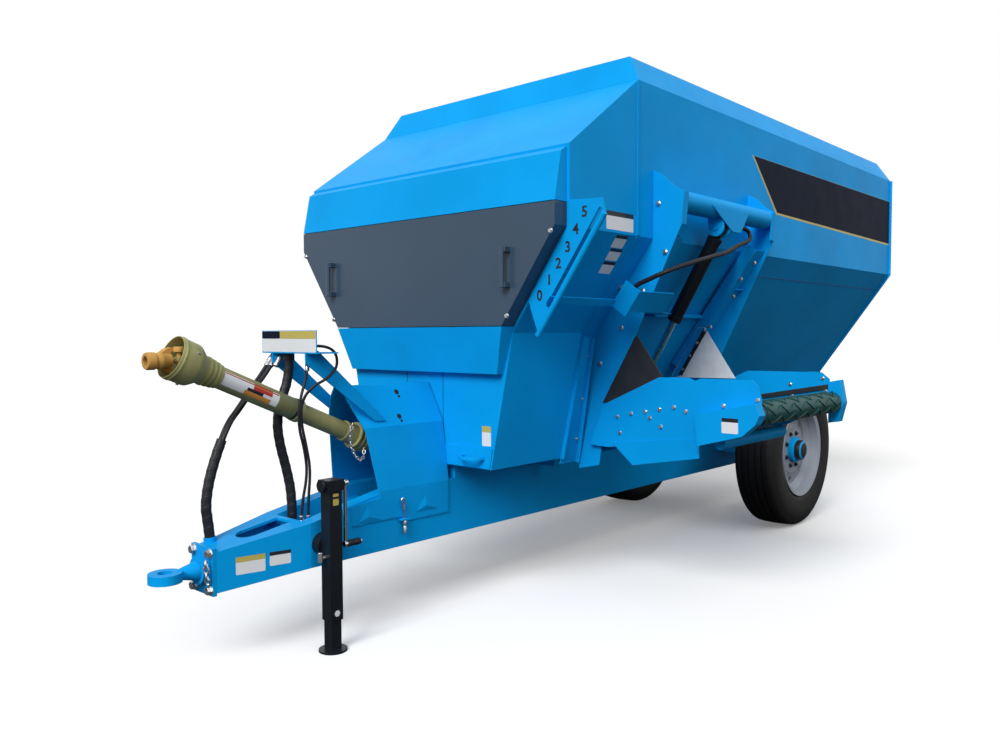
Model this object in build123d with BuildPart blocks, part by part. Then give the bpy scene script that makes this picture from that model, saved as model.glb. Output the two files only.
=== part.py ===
"""Feed mixer wagon, towed, with an open hopper, two mixing augers and a side discharge belt.

All sizes are in millimetres. X points forward to the hitch, Y to the discharge side and Z up from
the ground. x = 0 is the hopper's front wall and y = 0 the centreline; save() moves every piece so
that the stored origin is the middle of the wagon on the ground.
"""
import os
from math import atan2, cos, degrees, hypot, pi, radians, sin, tan

from build123d import *

# Hopper
HALF_WIDTH = 880
HOPPER_LENGTH = 3495
SHOULDER_Z = 2441
RIM_TOP_Z = 2576
RIM_INSET_SIDE = 84
RIM_INSET_END = 54
SLOPE_ANGLE = 35.2
WALL = 6
END_WALL = 8
REAR_FLANGE = 14

# Trough and augers
TROUGH_RADIUS = 176
TROUGH_AXIS_Z = 860
TROUGH_TOP_Z = 986.5
TROUGH_HALF = 2 * TROUGH_RADIUS
CREASE_Z = TROUGH_TOP_Z + (HALF_WIDTH - TROUGH_HALF) / tan(radians(SLOPE_ANGLE))
AUGER_CLEARANCE = 12
AUGER_SHAFT_RADIUS = 45
SHAFT_FIT = 0.5
AUGER_PITCH = 400
AUGER_STEPS = 12
FLIGHT_THICK = 8

# Drive housing in front of the hopper
HOOD_LENGTH = 513
HOOD_FRONT_TOP_Z = CREASE_Z + 340
HOOD_CREASE_Z = 1294
HOOD_CREASE_Y = 569
HOOD_BOTTOM_Z = 669
HOOD_BOTTOM_Y = 436
SHEET = 5
COVER_PROUD = 82
COVER_GAP = 3
COVER_TOP_Z = CREASE_Z + 327
COVER_TOP_PROUD = 40
COVER_INSET = 14
COVER_UPPER_Y = HALF_WIDTH - COVER_INSET
PANEL_TOP_Z = CREASE_Z + 97
PANEL_BOTTOM_Z = 1324
PANEL_BOTTOM_Y = 574
LOWER_COVER_Z = 1110
LOWER_COVER_Y = 509
SERVICE_COVER_Z = 768
SERVICE_BOW_Z = 715

# Discharge gate, guides and cylinder; levels are measured up the slope from the trough's top
GUIDE_FRONT_X = -134
GUIDE_REAR_X = -1108
GUIDE_CHANNEL = 100
GUIDE_WEB_OUT = 86
GATE_GAP = 6
GATE_THICK = 6
GATE_BOTTOM = -2
GATE_TOP = 506
GATE_TRAVEL = 405
OPENING_BOTTOM = 21
OPENING_TOP = 396
SHELF_OUT = 191
SHELF_LEVEL = 625
WRAP_HEIGHT = 111
GATE_SHELF_Y = 640
SHELF_END_X = -500
RAIL_OUT = 101
RAIL_LEVEL = 616
RAIL_WIDTH = 36
GAUGE_EDGE_OUT = 131
GAUGE_TUBE_RADIUS = 13
CROSS_TUBE_Y = HALF_WIDTH + 110
CROSS_TUBE_Z = CREASE_Z + 168
CROSS_TUBE_RADIUS = 51
CYLINDER_X = -560
CYLINDER_PIN_Y = HALF_WIDTH + 120
CYLINDER_PIN_Z = CREASE_Z + 73
CYLINDER_PIN_RADIUS = 12
BARREL_RADIUS = 35
BARREL_LENGTH = 520
ROD_RADIUS = 18
ROD_PIN_LEVEL = 86
ROD_PIN_OUT = 150

# Discharge conveyor, whose belt runs out along Y
CONVEYOR_FRONT_X = -107
CONVEYOR_REAR_X = -1007
CONVEYOR_PLATE = 6
ROLLER_RADIUS = 45
BELT_THICK = 8
INNER_ROLLER = (640, 800)
OUTER_ROLLER = (1400, 938)

# Chassis
RAIL_HALF = 162
RAIL_THICK = 70
RAIL_WALL = 8
RAIL_BOTTOM_Z = 335
RAIL_TOP_Z = 600
RAIL_FRONT_X = 1300
RAIL_TAPER_X = 880
RAIL_REAR_X = 195 - HOPPER_LENGTH
BOLSTER_FRONT_X = -150
BOLSTER_MIDDLE_X = -1200
BOLSTER_THICK = 60
BOLSTER_HALF = 300
BOLSTER_CRADLE = 106
NOSE_FRONT_X = 1677
NOSE_HALF = 80
NOSE_BOTTOM_Z = 300
NOSE_TOP_Z = 460
NOSE_WALL = 12
NOSE_REAR_TOP_Z = 520

# Wheels
AXLE_X = -2236
TYRE_RADIUS = 505
TYRE_WIDTH = 276
WHEEL_Y = 620
RIM_RADIUS = 286
RIM_FLANGE = 305
AXLE_BEAM = 100

# Hitch eye
HITCH_Z = 382
FLANGE_THICK = 16
EYE_X = 1842
EYE_OUTER = 62
EYE_BORE = 27
EYE_THICK = 36

# Parking jack
JACK_X = 1254
JACK_Y = 236
JACK_TUBE = 60
JACK_WALL = 5
JACK_BOTTOM_Z = 128
JACK_TOP_Z = 703
JACK_FOOT_RADIUS = 58
JACK_FOOT_THICK = 8
JACK_FIT = 0.3

# PTO shaft, whose stations are measured along it from the rear joint
PTO_PIVOT_X = 800
PTO_PIVOT_Z = 772
PTO_ANGLE = 23.5
PTO_REAR_RADIUS = 39
PTO_FRONT_RADIUS = 45
PTO_COLLAR = (95, 230)
PTO_OVERLAP = (480, 820)
PTO_CONE = (900, 1075)
PTO_CONE_RADIUS = 79
PTO_JOINT = 1055
PTO_BORE = 17.5
YOKE_REACH = 132
YOKE_HUB = 98
YOKE_HUB_RADIUS = 33
YOKE_EAR = 28
CROSS_RADIUS = 9
CROSS_FIT = 0.3

# PTO guard
GUARD_TOP_HALF = 33
GUARD_SHOULDER_HALF = 130
GUARD_SHEET = 5

# Gap at which a piece sits on what carries it
SEAT = 0.3

# Origin: middle of the wagon's box on the ground
REAR_X = -HOPPER_LENGTH - END_WALL
AUGER_REAR_X = -HOPPER_LENGTH - 60
CONVEYOR_END_Y = 1458
ORIGIN_X = (EYE_X + EYE_OUTER + AUGER_REAR_X) / 2
ORIGIN_Y = (CONVEYOR_END_Y - HALF_WIDTH - REAR_FLANGE) / 2

SIN = sin(radians(SLOPE_ANGLE))
COS = cos(radians(SLOPE_ANGLE))


def slope_point(level, out):
    """Point (y, z) at a level along the hopper's slope and a distance out from its face."""
    return (TROUGH_HALF + level * SIN + out * COS, TROUGH_TOP_Z + level * COS - out * SIN)


def outline(plane, points):
    """Closed face through points of a plane."""
    with BuildSketch(plane, mode=Mode.PRIVATE) as face:
        with BuildLine():
            Polyline(*points, close=True)
        make_face()
    return face.sketch


def plate_yz(x_from, x_to, points, mode=Mode.ADD):
    """Plate that stands across X, drawn as (y, z)."""
    extrude(outline(Plane.YZ.offset(x_from), points), amount=x_to - x_from, mode=mode)


def plate_xz(y_from, y_to, points, mode=Mode.ADD):
    """Plate that stands across Y, drawn as (x, z)."""
    extrude(outline(Plane.XZ.offset(-y_to), points), amount=y_to - y_from, mode=mode)


def plate_xy(z_from, z_to, points, mode=Mode.ADD):
    """Level plate, drawn as (x, y)."""
    extrude(outline(Plane.XY.offset(z_from), points), amount=z_to - z_from, mode=mode)


def block(x, y, z, mode=Mode.ADD):
    """Block between two values on each axis."""
    with Locations(((x[0] + x[1]) / 2, (y[0] + y[1]) / 2, (z[0] + z[1]) / 2)):
        Box(x[1] - x[0], y[1] - y[0], z[1] - z[0], mode=mode)


def bar(start, end, radius, mode=Mode.ADD):
    """Round bar between two points."""
    run = Vector(*end) - Vector(*start)
    with BuildSketch(Plane(origin=start, z_dir=run), mode=Mode.PRIVATE) as section:
        Circle(radius)
    extrude(section.sketch, amount=run.length, mode=mode)


def mirror_y(points):
    """The points, then the same points on the other side in reverse, for a symmetric outline."""
    return points + [(-y, z) for y, z in reversed(points)]


def save(part, name):
    """Move a piece to the stored origin, label it and write it."""
    piece = part.moved(Location((-ORIGIN_X, -ORIGIN_Y, 0)))
    piece.label = name
    export_step(piece, f"parts/{name}.step")


os.makedirs("parts", exist_ok=True)

# Hopper section, drawn as (y, z)
HOPPER_SIDE = [
    (HALF_WIDTH, SHOULDER_Z),
    (HALF_WIDTH, CREASE_Z),
    (TROUGH_HALF, TROUGH_TOP_Z),
    (TROUGH_HALF, TROUGH_AXIS_Z),
]
TROUGH_AXES = [(TROUGH_RADIUS, TROUGH_AXIS_Z), (-TROUGH_RADIUS, TROUGH_AXIS_Z)]


def hopper_face(x, grow=0):
    """Outer outline of the hopper's section at x, grown by a flange."""
    with BuildSketch(Plane.YZ.offset(x), mode=Mode.PRIVATE) as face:
        with BuildLine():
            Polyline(*mirror_y(HOPPER_SIDE), close=True)
        make_face()
        with Locations(*TROUGH_AXES):
            Circle(TROUGH_RADIUS)
        if grow:
            offset(amount=grow, kind=Kind.INTERSECTION)
    return face.sketch


def hopper_cavity(x):
    """Inside of the hopper's section at x: the outer outline less the wall, open at the top."""
    inner_side = [
        (HALF_WIDTH, SHOULDER_Z + 2 * WALL),
        (HALF_WIDTH, CREASE_Z),
        (TROUGH_HALF, TROUGH_TOP_Z),
        (TROUGH_HALF, TROUGH_AXIS_Z - WALL),
    ]
    with BuildSketch(Plane.YZ.offset(x), mode=Mode.PRIVATE) as face:
        with BuildLine():
            Polyline(*mirror_y(inner_side), close=True)
        make_face()
        offset(amount=-WALL, kind=Kind.INTERSECTION)
        with Locations(*TROUGH_AXES):
            Circle(TROUGH_RADIUS - WALL)
    return face.sketch


# Hopper walls: one shell between the end walls, cut where its panels meet
WALL_FROM_X = -HOPPER_LENGTH
WALL_TO_X = -END_WALL
WALL_RUN = WALL_TO_X - WALL_FROM_X


def hopper_shell():
    """The shell's side walls and trough as one ring, added to the open part."""
    extrude(hopper_face(WALL_FROM_X), amount=WALL_RUN)
    extrude(hopper_cavity(WALL_FROM_X), amount=WALL_RUN, mode=Mode.SUBTRACT)


FAR = 2000
with BuildPart() as hopper_side_left:
    hopper_shell()
    block((WALL_FROM_X, WALL_TO_X), (0, FAR), (TROUGH_TOP_Z, SHOULDER_Z), mode=Mode.INTERSECT)
    opening = [
        slope_point(OPENING_BOTTOM, -4 * WALL),
        slope_point(OPENING_TOP, -4 * WALL),
        slope_point(OPENING_TOP, WALL),
        slope_point(OPENING_BOTTOM, WALL),
    ]
    OPENING_FRONT_X = GUIDE_FRONT_X - GUIDE_CHANNEL / 2
    OPENING_REAR_X = GUIDE_REAR_X + GUIDE_CHANNEL / 2
    plate_yz(OPENING_REAR_X, OPENING_FRONT_X, opening, mode=Mode.SUBTRACT)
save(hopper_side_left.part, "hopper_side_left")

with BuildPart() as hopper_side_right:
    hopper_shell()
    block((WALL_FROM_X, WALL_TO_X), (-FAR, 0), (TROUGH_TOP_Z, SHOULDER_Z), mode=Mode.INTERSECT)
save(hopper_side_right.part, "hopper_side_right")

with BuildPart() as hopper_trough:
    hopper_shell()
    block((WALL_FROM_X, WALL_TO_X), (-FAR, FAR), (0, TROUGH_TOP_Z), mode=Mode.INTERSECT)
    block((WALL_FROM_X, WALL_TO_X), (-WALL, WALL), (TROUGH_AXIS_Z - 10, TROUGH_AXIS_Z))
save(hopper_trough.part, "hopper_trough")

with BuildPart() as hopper_front_wall:
    extrude(hopper_face(WALL_TO_X), amount=END_WALL)
    with Locations(*[Location((0, y, z), (0, 90, 0)) for y, z in TROUGH_AXES]):
        Cylinder(AUGER_SHAFT_RADIUS + SHAFT_FIT, 4 * END_WALL, mode=Mode.SUBTRACT)
save(hopper_front_wall.part, "hopper_front_wall")

with BuildPart() as hopper_rear_wall:
    extrude(hopper_face(REAR_X, grow=REAR_FLANGE), amount=END_WALL)
    block((REAR_X, WALL_FROM_X), (-FAR, FAR), (SHOULDER_Z, FAR * 2), mode=Mode.SUBTRACT)
    with Locations(*[Location((REAR_X, y, z), (0, 90, 0)) for y, z in TROUGH_AXES]):
        Cylinder(AUGER_SHAFT_RADIUS + SHAFT_FIT, 4 * END_WALL, mode=Mode.SUBTRACT)
save(hopper_rear_wall.part, "hopper_rear_wall")

# Rim band, bent inward all round
RIM_SHEET = 8


def rim_block(inset):
    """Solid under the rim's slanted faces, drawn inset from them, added to the open part."""
    with BuildSketch(Plane.XY.offset(SHOULDER_Z), mode=Mode.PRIVATE) as low:
        with Locations((-HOPPER_LENGTH / 2, 0)):
            Rectangle(HOPPER_LENGTH - 2 * inset, 2 * (HALF_WIDTH - inset))
    with BuildSketch(Plane.XY.offset(RIM_TOP_Z), mode=Mode.PRIVATE) as high:
        with Locations((-HOPPER_LENGTH / 2, 0)):
            Rectangle(
                HOPPER_LENGTH - 2 * (RIM_INSET_END + inset),
                2 * (HALF_WIDTH - RIM_INSET_SIDE - inset),
            )
    return [low.sketch, high.sketch]


with BuildPart() as hopper_rim:
    loft(rim_block(0), ruled=True)
    loft(rim_block(RIM_SHEET), ruled=True, mode=Mode.SUBTRACT)
save(hopper_rim.part, "hopper_rim")

# Drive housing: a folded shell with a window behind its covers
HOOD_SIDE = [
    (HALF_WIDTH, SHOULDER_Z),
    (HALF_WIDTH, CREASE_Z),
    (HOOD_CREASE_Y, HOOD_CREASE_Z),
    (HOOD_BOTTOM_Y, HOOD_BOTTOM_Z),
]
HOOD_PROFILE = [
    (0, HOOD_BOTTOM_Z),
    (HOOD_LENGTH, HOOD_BOTTOM_Z),
    (HOOD_LENGTH, HOOD_FRONT_TOP_Z),
    (0, SHOULDER_Z),
]


def shrunk(plane, points, amount):
    """Closed face through points, moved inward on every edge."""
    with BuildSketch(plane, mode=Mode.PRIVATE) as face:
        with BuildLine():
            Polyline(*points, close=True)
        make_face()
        offset(amount=-amount, kind=Kind.INTERSECTION)
    return face.sketch


with BuildPart() as hood_inside:
    extrude(shrunk(Plane.YZ, mirror_y(HOOD_SIDE), SHEET), amount=HOOD_LENGTH)
    profile = shrunk(Plane.XZ.offset(-FAR), HOOD_PROFILE, SHEET)
    extrude(profile, amount=2 * FAR, mode=Mode.INTERSECT)

with BuildPart() as drive_hood:
    plate_yz(0, HOOD_LENGTH, mirror_y(HOOD_SIDE))
    extrude(outline(Plane.XZ.offset(-FAR), HOOD_PROFILE), amount=2 * FAR, mode=Mode.INTERSECT)
    add(hood_inside.part, mode=Mode.SUBTRACT)
    window = [
        (COVER_UPPER_Y - 60, CREASE_Z + 60),
        (COVER_UPPER_Y - 60, CREASE_Z),
        (PANEL_BOTTOM_Y - 60, PANEL_BOTTOM_Z),
        (LOWER_COVER_Y - 60, LOWER_COVER_Z + 60),
    ]
    plate_yz(HOOD_LENGTH - 4 * SHEET, HOOD_LENGTH + SHEET, mirror_y(window), mode=Mode.SUBTRACT)
save(drive_hood.part, "drive_hood")

# Covers on the housing's front: folded trays, open at the back
COVER_FRONT_X = HOOD_LENGTH + COVER_PROUD


def tray(side, profile):
    """Tray between an outline (y, z) and a front profile (x, z), open at the housing's face."""
    back = HOOD_LENGTH
    front = COVER_FRONT_X + 3 * SHEET
    ends = [(back, profile[-1][1]), (back, profile[0][1])]
    deep = [(back - 3 * SHEET, profile[-1][1]), (back - 3 * SHEET, profile[0][1])]
    with BuildPart(mode=Mode.PRIVATE) as inside:
        extrude(shrunk(Plane.YZ.offset(back - SHEET), mirror_y(side), SHEET), amount=front - back)
        hollow = shrunk(Plane.XZ.offset(-FAR), profile + deep, SHEET)
        extrude(hollow, amount=2 * FAR, mode=Mode.INTERSECT)
    plate_yz(back, front, mirror_y(side))
    extrude(outline(Plane.XZ.offset(-FAR), profile + ends), amount=2 * FAR, mode=Mode.INTERSECT)
    add(inside.part, mode=Mode.SUBTRACT)


UPPER_SIDE = [(COVER_UPPER_Y, COVER_TOP_Z), (COVER_UPPER_Y, PANEL_TOP_Z + COVER_GAP)]
UPPER_PROFILE = [
    (HOOD_LENGTH + COVER_TOP_PROUD, COVER_TOP_Z - 22),
    (COVER_FRONT_X, PANEL_TOP_Z + COVER_GAP),
]
with BuildPart() as cover_upper:
    tray(UPPER_SIDE, [(HOOD_LENGTH + SHEET, COVER_TOP_Z)] + UPPER_PROFILE)
save(cover_upper.part, "cover_upper")

PANEL_SIDE = [
    (COVER_UPPER_Y, PANEL_TOP_Z),
    (COVER_UPPER_Y, CREASE_Z),
    (PANEL_BOTTOM_Y, PANEL_BOTTOM_Z),
]
HANDLE_Y = 606
HANDLE_Z = (1487, 1660)
HANDLE_DEEP = 45
HANDLE_RADIUS = 11
with BuildPart() as cover_black:
    tray(PANEL_SIDE, [(COVER_FRONT_X, PANEL_TOP_Z), (COVER_FRONT_X, PANEL_BOTTOM_Z)])
    for y in (-HANDLE_Y, HANDLE_Y):
        grip_x = COVER_FRONT_X + HANDLE_DEEP - HANDLE_RADIUS
        bar((grip_x, y, HANDLE_Z[0]), (grip_x, y, HANDLE_Z[1]), HANDLE_RADIUS)
        for z in (HANDLE_Z[0] + HANDLE_RADIUS, HANDLE_Z[1] - HANDLE_RADIUS):
            half = HANDLE_RADIUS
            block((COVER_FRONT_X, grip_x), (y - 1.8 * half, y + 1.8 * half), (z - half, z + half))
save(cover_black.part, "cover_black")

LOWER_SIDE = [(PANEL_BOTTOM_Y, PANEL_BOTTOM_Z - COVER_GAP), (LOWER_COVER_Y, LOWER_COVER_Z)]
with BuildPart() as cover_lower:
    tray(
        LOWER_SIDE,
        [
            (COVER_FRONT_X, PANEL_BOTTOM_Z - COVER_GAP),
            (HOOD_LENGTH + COVER_TOP_PROUD, LOWER_COVER_Z),
        ],
    )
save(cover_lower.part, "cover_lower")

SERVICE_SIDE = [(HOOD_BOTTOM_Y + 12, SERVICE_COVER_Z), (HOOD_BOTTOM_Y - 6, HOOD_BOTTOM_Z + 4)]
with BuildPart() as cover_service:
    plate_yz(HOOD_LENGTH, HOOD_LENGTH + 6, mirror_y(SERVICE_SIDE))
    for y in (-330, 330):
        with BuildSketch(Plane.XY.offset(SERVICE_BOW_Z), mode=Mode.PRIVATE) as bow:
            with Locations((HOOD_LENGTH + 6, y)):
                Circle(70)
                Circle(56, mode=Mode.SUBTRACT)
            with Locations((HOOD_LENGTH - 94, y)):
                Rectangle(200, 200, mode=Mode.SUBTRACT)
        extrude(bow.sketch, amount=14)
save(cover_service.part, "cover_service")

# Gate gauge: plate with a slot for the pointer rail and a rolled edge
GAUGE_X = HOOD_LENGTH + 8
GAUGE_LOW = 542
GAUGE_HIGH = 1051
SLOT_WIDTH = 18
with BuildPart() as gauge_plate:
    plate_yz(
        HOOD_LENGTH,
        GAUGE_X,
        [
            (HALF_WIDTH, CREASE_Z),
            (HALF_WIDTH, CREASE_Z + 105),
            (HALF_WIDTH + 170, CREASE_Z + 97),
            slope_point(GAUGE_HIGH, GAUGE_EDGE_OUT),
            slope_point(GAUGE_LOW - 90, GAUGE_EDGE_OUT),
            slope_point(GAUGE_LOW, 0),
        ],
    )
    slot = [
        slope_point(RAIL_LEVEL - RAIL_WIDTH, RAIL_OUT - SLOT_WIDTH / 2),
        slope_point(RAIL_LEVEL + GATE_TRAVEL + RAIL_WIDTH, RAIL_OUT - SLOT_WIDTH / 2),
        slope_point(RAIL_LEVEL + GATE_TRAVEL + RAIL_WIDTH, RAIL_OUT + SLOT_WIDTH / 2),
        slope_point(RAIL_LEVEL - RAIL_WIDTH, RAIL_OUT + SLOT_WIDTH / 2),
    ]
    plate_yz(HOOD_LENGTH - 1, GAUGE_X + 1, slot, mode=Mode.SUBTRACT)
    edge_x = HOOD_LENGTH + GAUGE_TUBE_RADIUS
    bar(
        (edge_x, *slope_point(GAUGE_LOW - 90, GAUGE_EDGE_OUT)),
        (edge_x, *slope_point(GAUGE_HIGH, GAUGE_EDGE_OUT)),
        GAUGE_TUBE_RADIUS,
    )
save(gauge_plate.part, "gauge_plate")

# Chute frame: two guide channels on the slope, joined by the cross tube
GUIDE_SHEET = 6
GUIDE_NOSE_HIGH = (HALF_WIDTH + 164, CREASE_Z + 203)
GUIDE_NOSE_LOW = (HALF_WIDTH + 152, CREASE_Z + 55)
GUIDE_TOE_Y = 440
GUIDE_TOE_LEVEL = (GUIDE_TOE_Y - TROUGH_HALF) / SIN
GUIDE_OUTLINE = [
    (HALF_WIDTH, CREASE_Z),
    (HALF_WIDTH, CREASE_Z + 320),
    (HALF_WIDTH + 50, CREASE_Z + 293),
    (HALF_WIDTH + 120, CREASE_Z + 227),
    GUIDE_NOSE_HIGH,
    GUIDE_NOSE_LOW,
    (618, 931),
    (577, 634),
    (GUIDE_TOE_Y + 13, 606),
    slope_point(GUIDE_TOE_LEVEL, 0),
]
GUIDE_LOW = 176
GUIDE_CHEEK_HIGH = 976
LUG_RADIUS = 40
LUG_THICK = 12
LUG_HALF = 42
GATE_LUG_HALF = 54
GUSSET_DROP = 108


def guide_channel(plate_x, inward):
    """One guide: outer plate, inner cheek and the web between them, added to the open part."""
    half = GUIDE_SHEET / 2
    plate_yz(plate_x - half, plate_x + half, GUIDE_OUTLINE)
    cheek_x = plate_x + inward * GUIDE_CHANNEL
    foot = GATE_GAP + GATE_THICK + GATE_GAP
    cheek = [
        slope_point(GUIDE_LOW, foot),
        slope_point(GUIDE_CHEEK_HIGH, foot),
        slope_point(GUIDE_CHEEK_HIGH, GUIDE_WEB_OUT),
        slope_point(GUIDE_LOW, GUIDE_WEB_OUT),
    ]
    plate_yz(cheek_x - half, cheek_x + half, cheek)
    web = [
        slope_point(GUIDE_LOW, GUIDE_WEB_OUT - GUIDE_SHEET),
        slope_point(GUIDE_CHEEK_HIGH, GUIDE_WEB_OUT - GUIDE_SHEET),
        slope_point(GUIDE_CHEEK_HIGH, GUIDE_WEB_OUT),
        slope_point(GUIDE_LOW, GUIDE_WEB_OUT),
    ]
    plate_yz(min(plate_x, cheek_x), max(plate_x, cheek_x), web)
    back = [(y - GUIDE_SHEET, z) for y, z in (GUIDE_NOSE_LOW, GUIDE_NOSE_HIGH)]
    lip = [GUIDE_NOSE_HIGH, GUIDE_NOSE_LOW, *back]
    plate_yz(min(plate_x, plate_x + inward * 40), max(plate_x, plate_x + inward * 40), lip)


with BuildPart() as chute_frame:
    guide_channel(GUIDE_FRONT_X, -1)
    guide_channel(GUIDE_REAR_X, 1)
    bar(
        (GUIDE_REAR_X, CROSS_TUBE_Y, CROSS_TUBE_Z),
        (GUIDE_FRONT_X, CROSS_TUBE_Y, CROSS_TUBE_Z),
        CROSS_TUBE_RADIUS,
    )
    for x in (CYLINDER_X - LUG_HALF, CYLINDER_X + LUG_HALF - LUG_THICK):
        bar(
            (x, CYLINDER_PIN_Y, CYLINDER_PIN_Z),
            (x + LUG_THICK, CYLINDER_PIN_Y, CYLINDER_PIN_Z),
            LUG_RADIUS,
        )
        plate_yz(
            x,
            x + LUG_THICK,
            [
                (CYLINDER_PIN_Y - LUG_RADIUS, CYLINDER_PIN_Z),
                (CROSS_TUBE_Y - LUG_RADIUS, CROSS_TUBE_Z),
                (CROSS_TUBE_Y + LUG_RADIUS, CROSS_TUBE_Z),
                (CYLINDER_PIN_Y + LUG_RADIUS, CYLINDER_PIN_Z),
            ],
        )
    bar(
        (CYLINDER_X - LUG_HALF - 6, CYLINDER_PIN_Y, CYLINDER_PIN_Z),
        (CYLINDER_X + LUG_HALF + 6, CYLINDER_PIN_Y, CYLINDER_PIN_Z),
        CYLINDER_PIN_RADIUS,
    )
    gusset_y = CROSS_TUBE_Y + CROSS_TUBE_RADIUS
    plate_xz(
        gusset_y - 6,
        gusset_y + 2,
        [
            (-400, CROSS_TUBE_Z),
            (-790, CROSS_TUBE_Z),
            (-700, CROSS_TUBE_Z - GUSSET_DROP),
            (-610, CROSS_TUBE_Z - GUSSET_DROP),
        ],
    )
save(chute_frame.part, "chute_frame")

# Gate with its shelf, rod bracket and the pointer rail
GATE_OUT = GATE_GAP + GATE_THICK
GATE_FRONT_X = GUIDE_FRONT_X - 3 - GATE_GAP
GATE_REAR_X = GUIDE_REAR_X + 3 + GATE_GAP
SHELF_THICK = 6
WRAP_FRONT_X = 60


def slope_box(x_from, x_to, levels, outs, mode=Mode.ADD):
    """Block that lies along the slope, between two levels and two distances out."""
    plate_yz(
        x_from,
        x_to,
        [
            slope_point(levels[0], outs[0]),
            slope_point(levels[1], outs[0]),
            slope_point(levels[1], outs[1]),
            slope_point(levels[0], outs[1]),
        ],
        mode=mode,
    )


with BuildPart() as gate:
    slope_box(GATE_REAR_X, GATE_FRONT_X, (GATE_BOTTOM, GATE_TOP), (GATE_GAP, GATE_OUT))
    stiffener = (GATE_TOP - SHELF_THICK, GATE_TOP)
    cheek_front_x = GUIDE_FRONT_X - GUIDE_CHANNEL - 10
    cheek_rear_x = GUIDE_REAR_X + GUIDE_CHANNEL + 10
    slope_box(cheek_rear_x, cheek_front_x, stiffener, (GATE_OUT, 38))
    shelf_y, shelf_z = slope_point(SHELF_LEVEL, SHELF_OUT)
    shelf_back_y = shelf_y - 0.55 * SHELF_OUT
    plate_xy(
        shelf_z,
        shelf_z + SHELF_THICK,
        [
            (cheek_front_x, GATE_SHELF_Y),
            (SHELF_END_X, GATE_SHELF_Y),
            (SHELF_END_X, shelf_back_y),
            (cheek_front_x, shelf_y),
        ],
    )
    wrap = (SHELF_LEVEL, SHELF_LEVEL + WRAP_HEIGHT)
    slope_box(cheek_front_x, WRAP_FRONT_X, wrap, (SHELF_OUT - SHELF_THICK, SHELF_OUT))
    rail = (RAIL_LEVEL - RAIL_WIDTH / 2, RAIL_LEVEL + RAIL_WIDTH / 2)
    rail_outs = (RAIL_OUT - 3, RAIL_OUT + 3)
    drop = (rail[0], wrap[1])
    slope_box(WRAP_FRONT_X - SHELF_THICK, WRAP_FRONT_X, drop, (rail_outs[0], SHELF_OUT))
    slope_box(WRAP_FRONT_X - SHELF_THICK, HOOD_LENGTH + 34, rail, rail_outs)
    for x in (CYLINDER_X - GATE_LUG_HALF, CYLINDER_X + GATE_LUG_HALF - LUG_THICK):
        plate_yz(
            x,
            x + LUG_THICK,
            [
                slope_point(ROD_PIN_LEVEL - 45, GATE_OUT),
                slope_point(ROD_PIN_LEVEL + 150, GATE_OUT),
                slope_point(ROD_PIN_LEVEL + 28, ROD_PIN_OUT + 26),
                slope_point(ROD_PIN_LEVEL - 28, ROD_PIN_OUT + 26),
            ],
        )
        pin_y, pin_z = slope_point(ROD_PIN_LEVEL, ROD_PIN_OUT)
        bar((x - 1, pin_y, pin_z), (x + LUG_THICK + 1, pin_y, pin_z), 20, mode=Mode.SUBTRACT)
save(gate.part, "gate")

# Gate cylinder: barrel on the lug, rod down to the gate's bracket
PIN_TOP = Vector(CYLINDER_X, CYLINDER_PIN_Y, CYLINDER_PIN_Z)
PIN_LOW = Vector(CYLINDER_X, *slope_point(ROD_PIN_LEVEL, ROD_PIN_OUT))
CYLINDER_RUN = (PIN_LOW - PIN_TOP).length
DOWN = (PIN_LOW - PIN_TOP).normalized()
EYE_HALF = LUG_HALF - LUG_THICK - 6


def along_cylinder(distance):
    """Point of the cylinder's axis at a distance from its upper pin."""
    return PIN_TOP + DOWN * distance


with BuildPart() as gate_cylinder_barrel:
    bar(along_cylinder(LUG_RADIUS + 8), along_cylinder(BARREL_LENGTH), BARREL_RADIUS)
    bar(PIN_TOP, along_cylinder(LUG_RADIUS + 10), EYE_HALF)
    bar(
        (CYLINDER_X - EYE_HALF, CYLINDER_PIN_Y, CYLINDER_PIN_Z),
        (CYLINDER_X + EYE_HALF, CYLINDER_PIN_Y, CYLINDER_PIN_Z),
        CYLINDER_PIN_RADIUS + 16,
    )
    bar(
        (CYLINDER_X - 2 * EYE_HALF, CYLINDER_PIN_Y, CYLINDER_PIN_Z),
        (CYLINDER_X + 2 * EYE_HALF, CYLINDER_PIN_Y, CYLINDER_PIN_Z),
        CYLINDER_PIN_RADIUS + 0.5,
        mode=Mode.SUBTRACT,
    )
    bar(
        along_cylinder(LUG_RADIUS + 30),
        along_cylinder(BARREL_LENGTH + 10),
        ROD_RADIUS + SEAT,
        mode=Mode.SUBTRACT,
    )
save(gate_cylinder_barrel.part, "gate_cylinder_barrel")

ROD_EYE_RADIUS = 26
with BuildPart() as gate_cylinder_rod:
    bar(along_cylinder(BARREL_LENGTH - 40), PIN_LOW, ROD_RADIUS)
    bar(
        (CYLINDER_X - EYE_HALF, PIN_LOW.Y, PIN_LOW.Z),
        (CYLINDER_X + EYE_HALF, PIN_LOW.Y, PIN_LOW.Z),
        ROD_EYE_RADIUS,
    )
    pin_half = GATE_LUG_HALF + 5
    bar(
        (CYLINDER_X - pin_half, PIN_LOW.Y, PIN_LOW.Z),
        (CYLINDER_X + pin_half, PIN_LOW.Y, PIN_LOW.Z),
        CYLINDER_PIN_RADIUS,
    )
save(gate_cylinder_rod.part, "gate_cylinder_rod")

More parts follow.
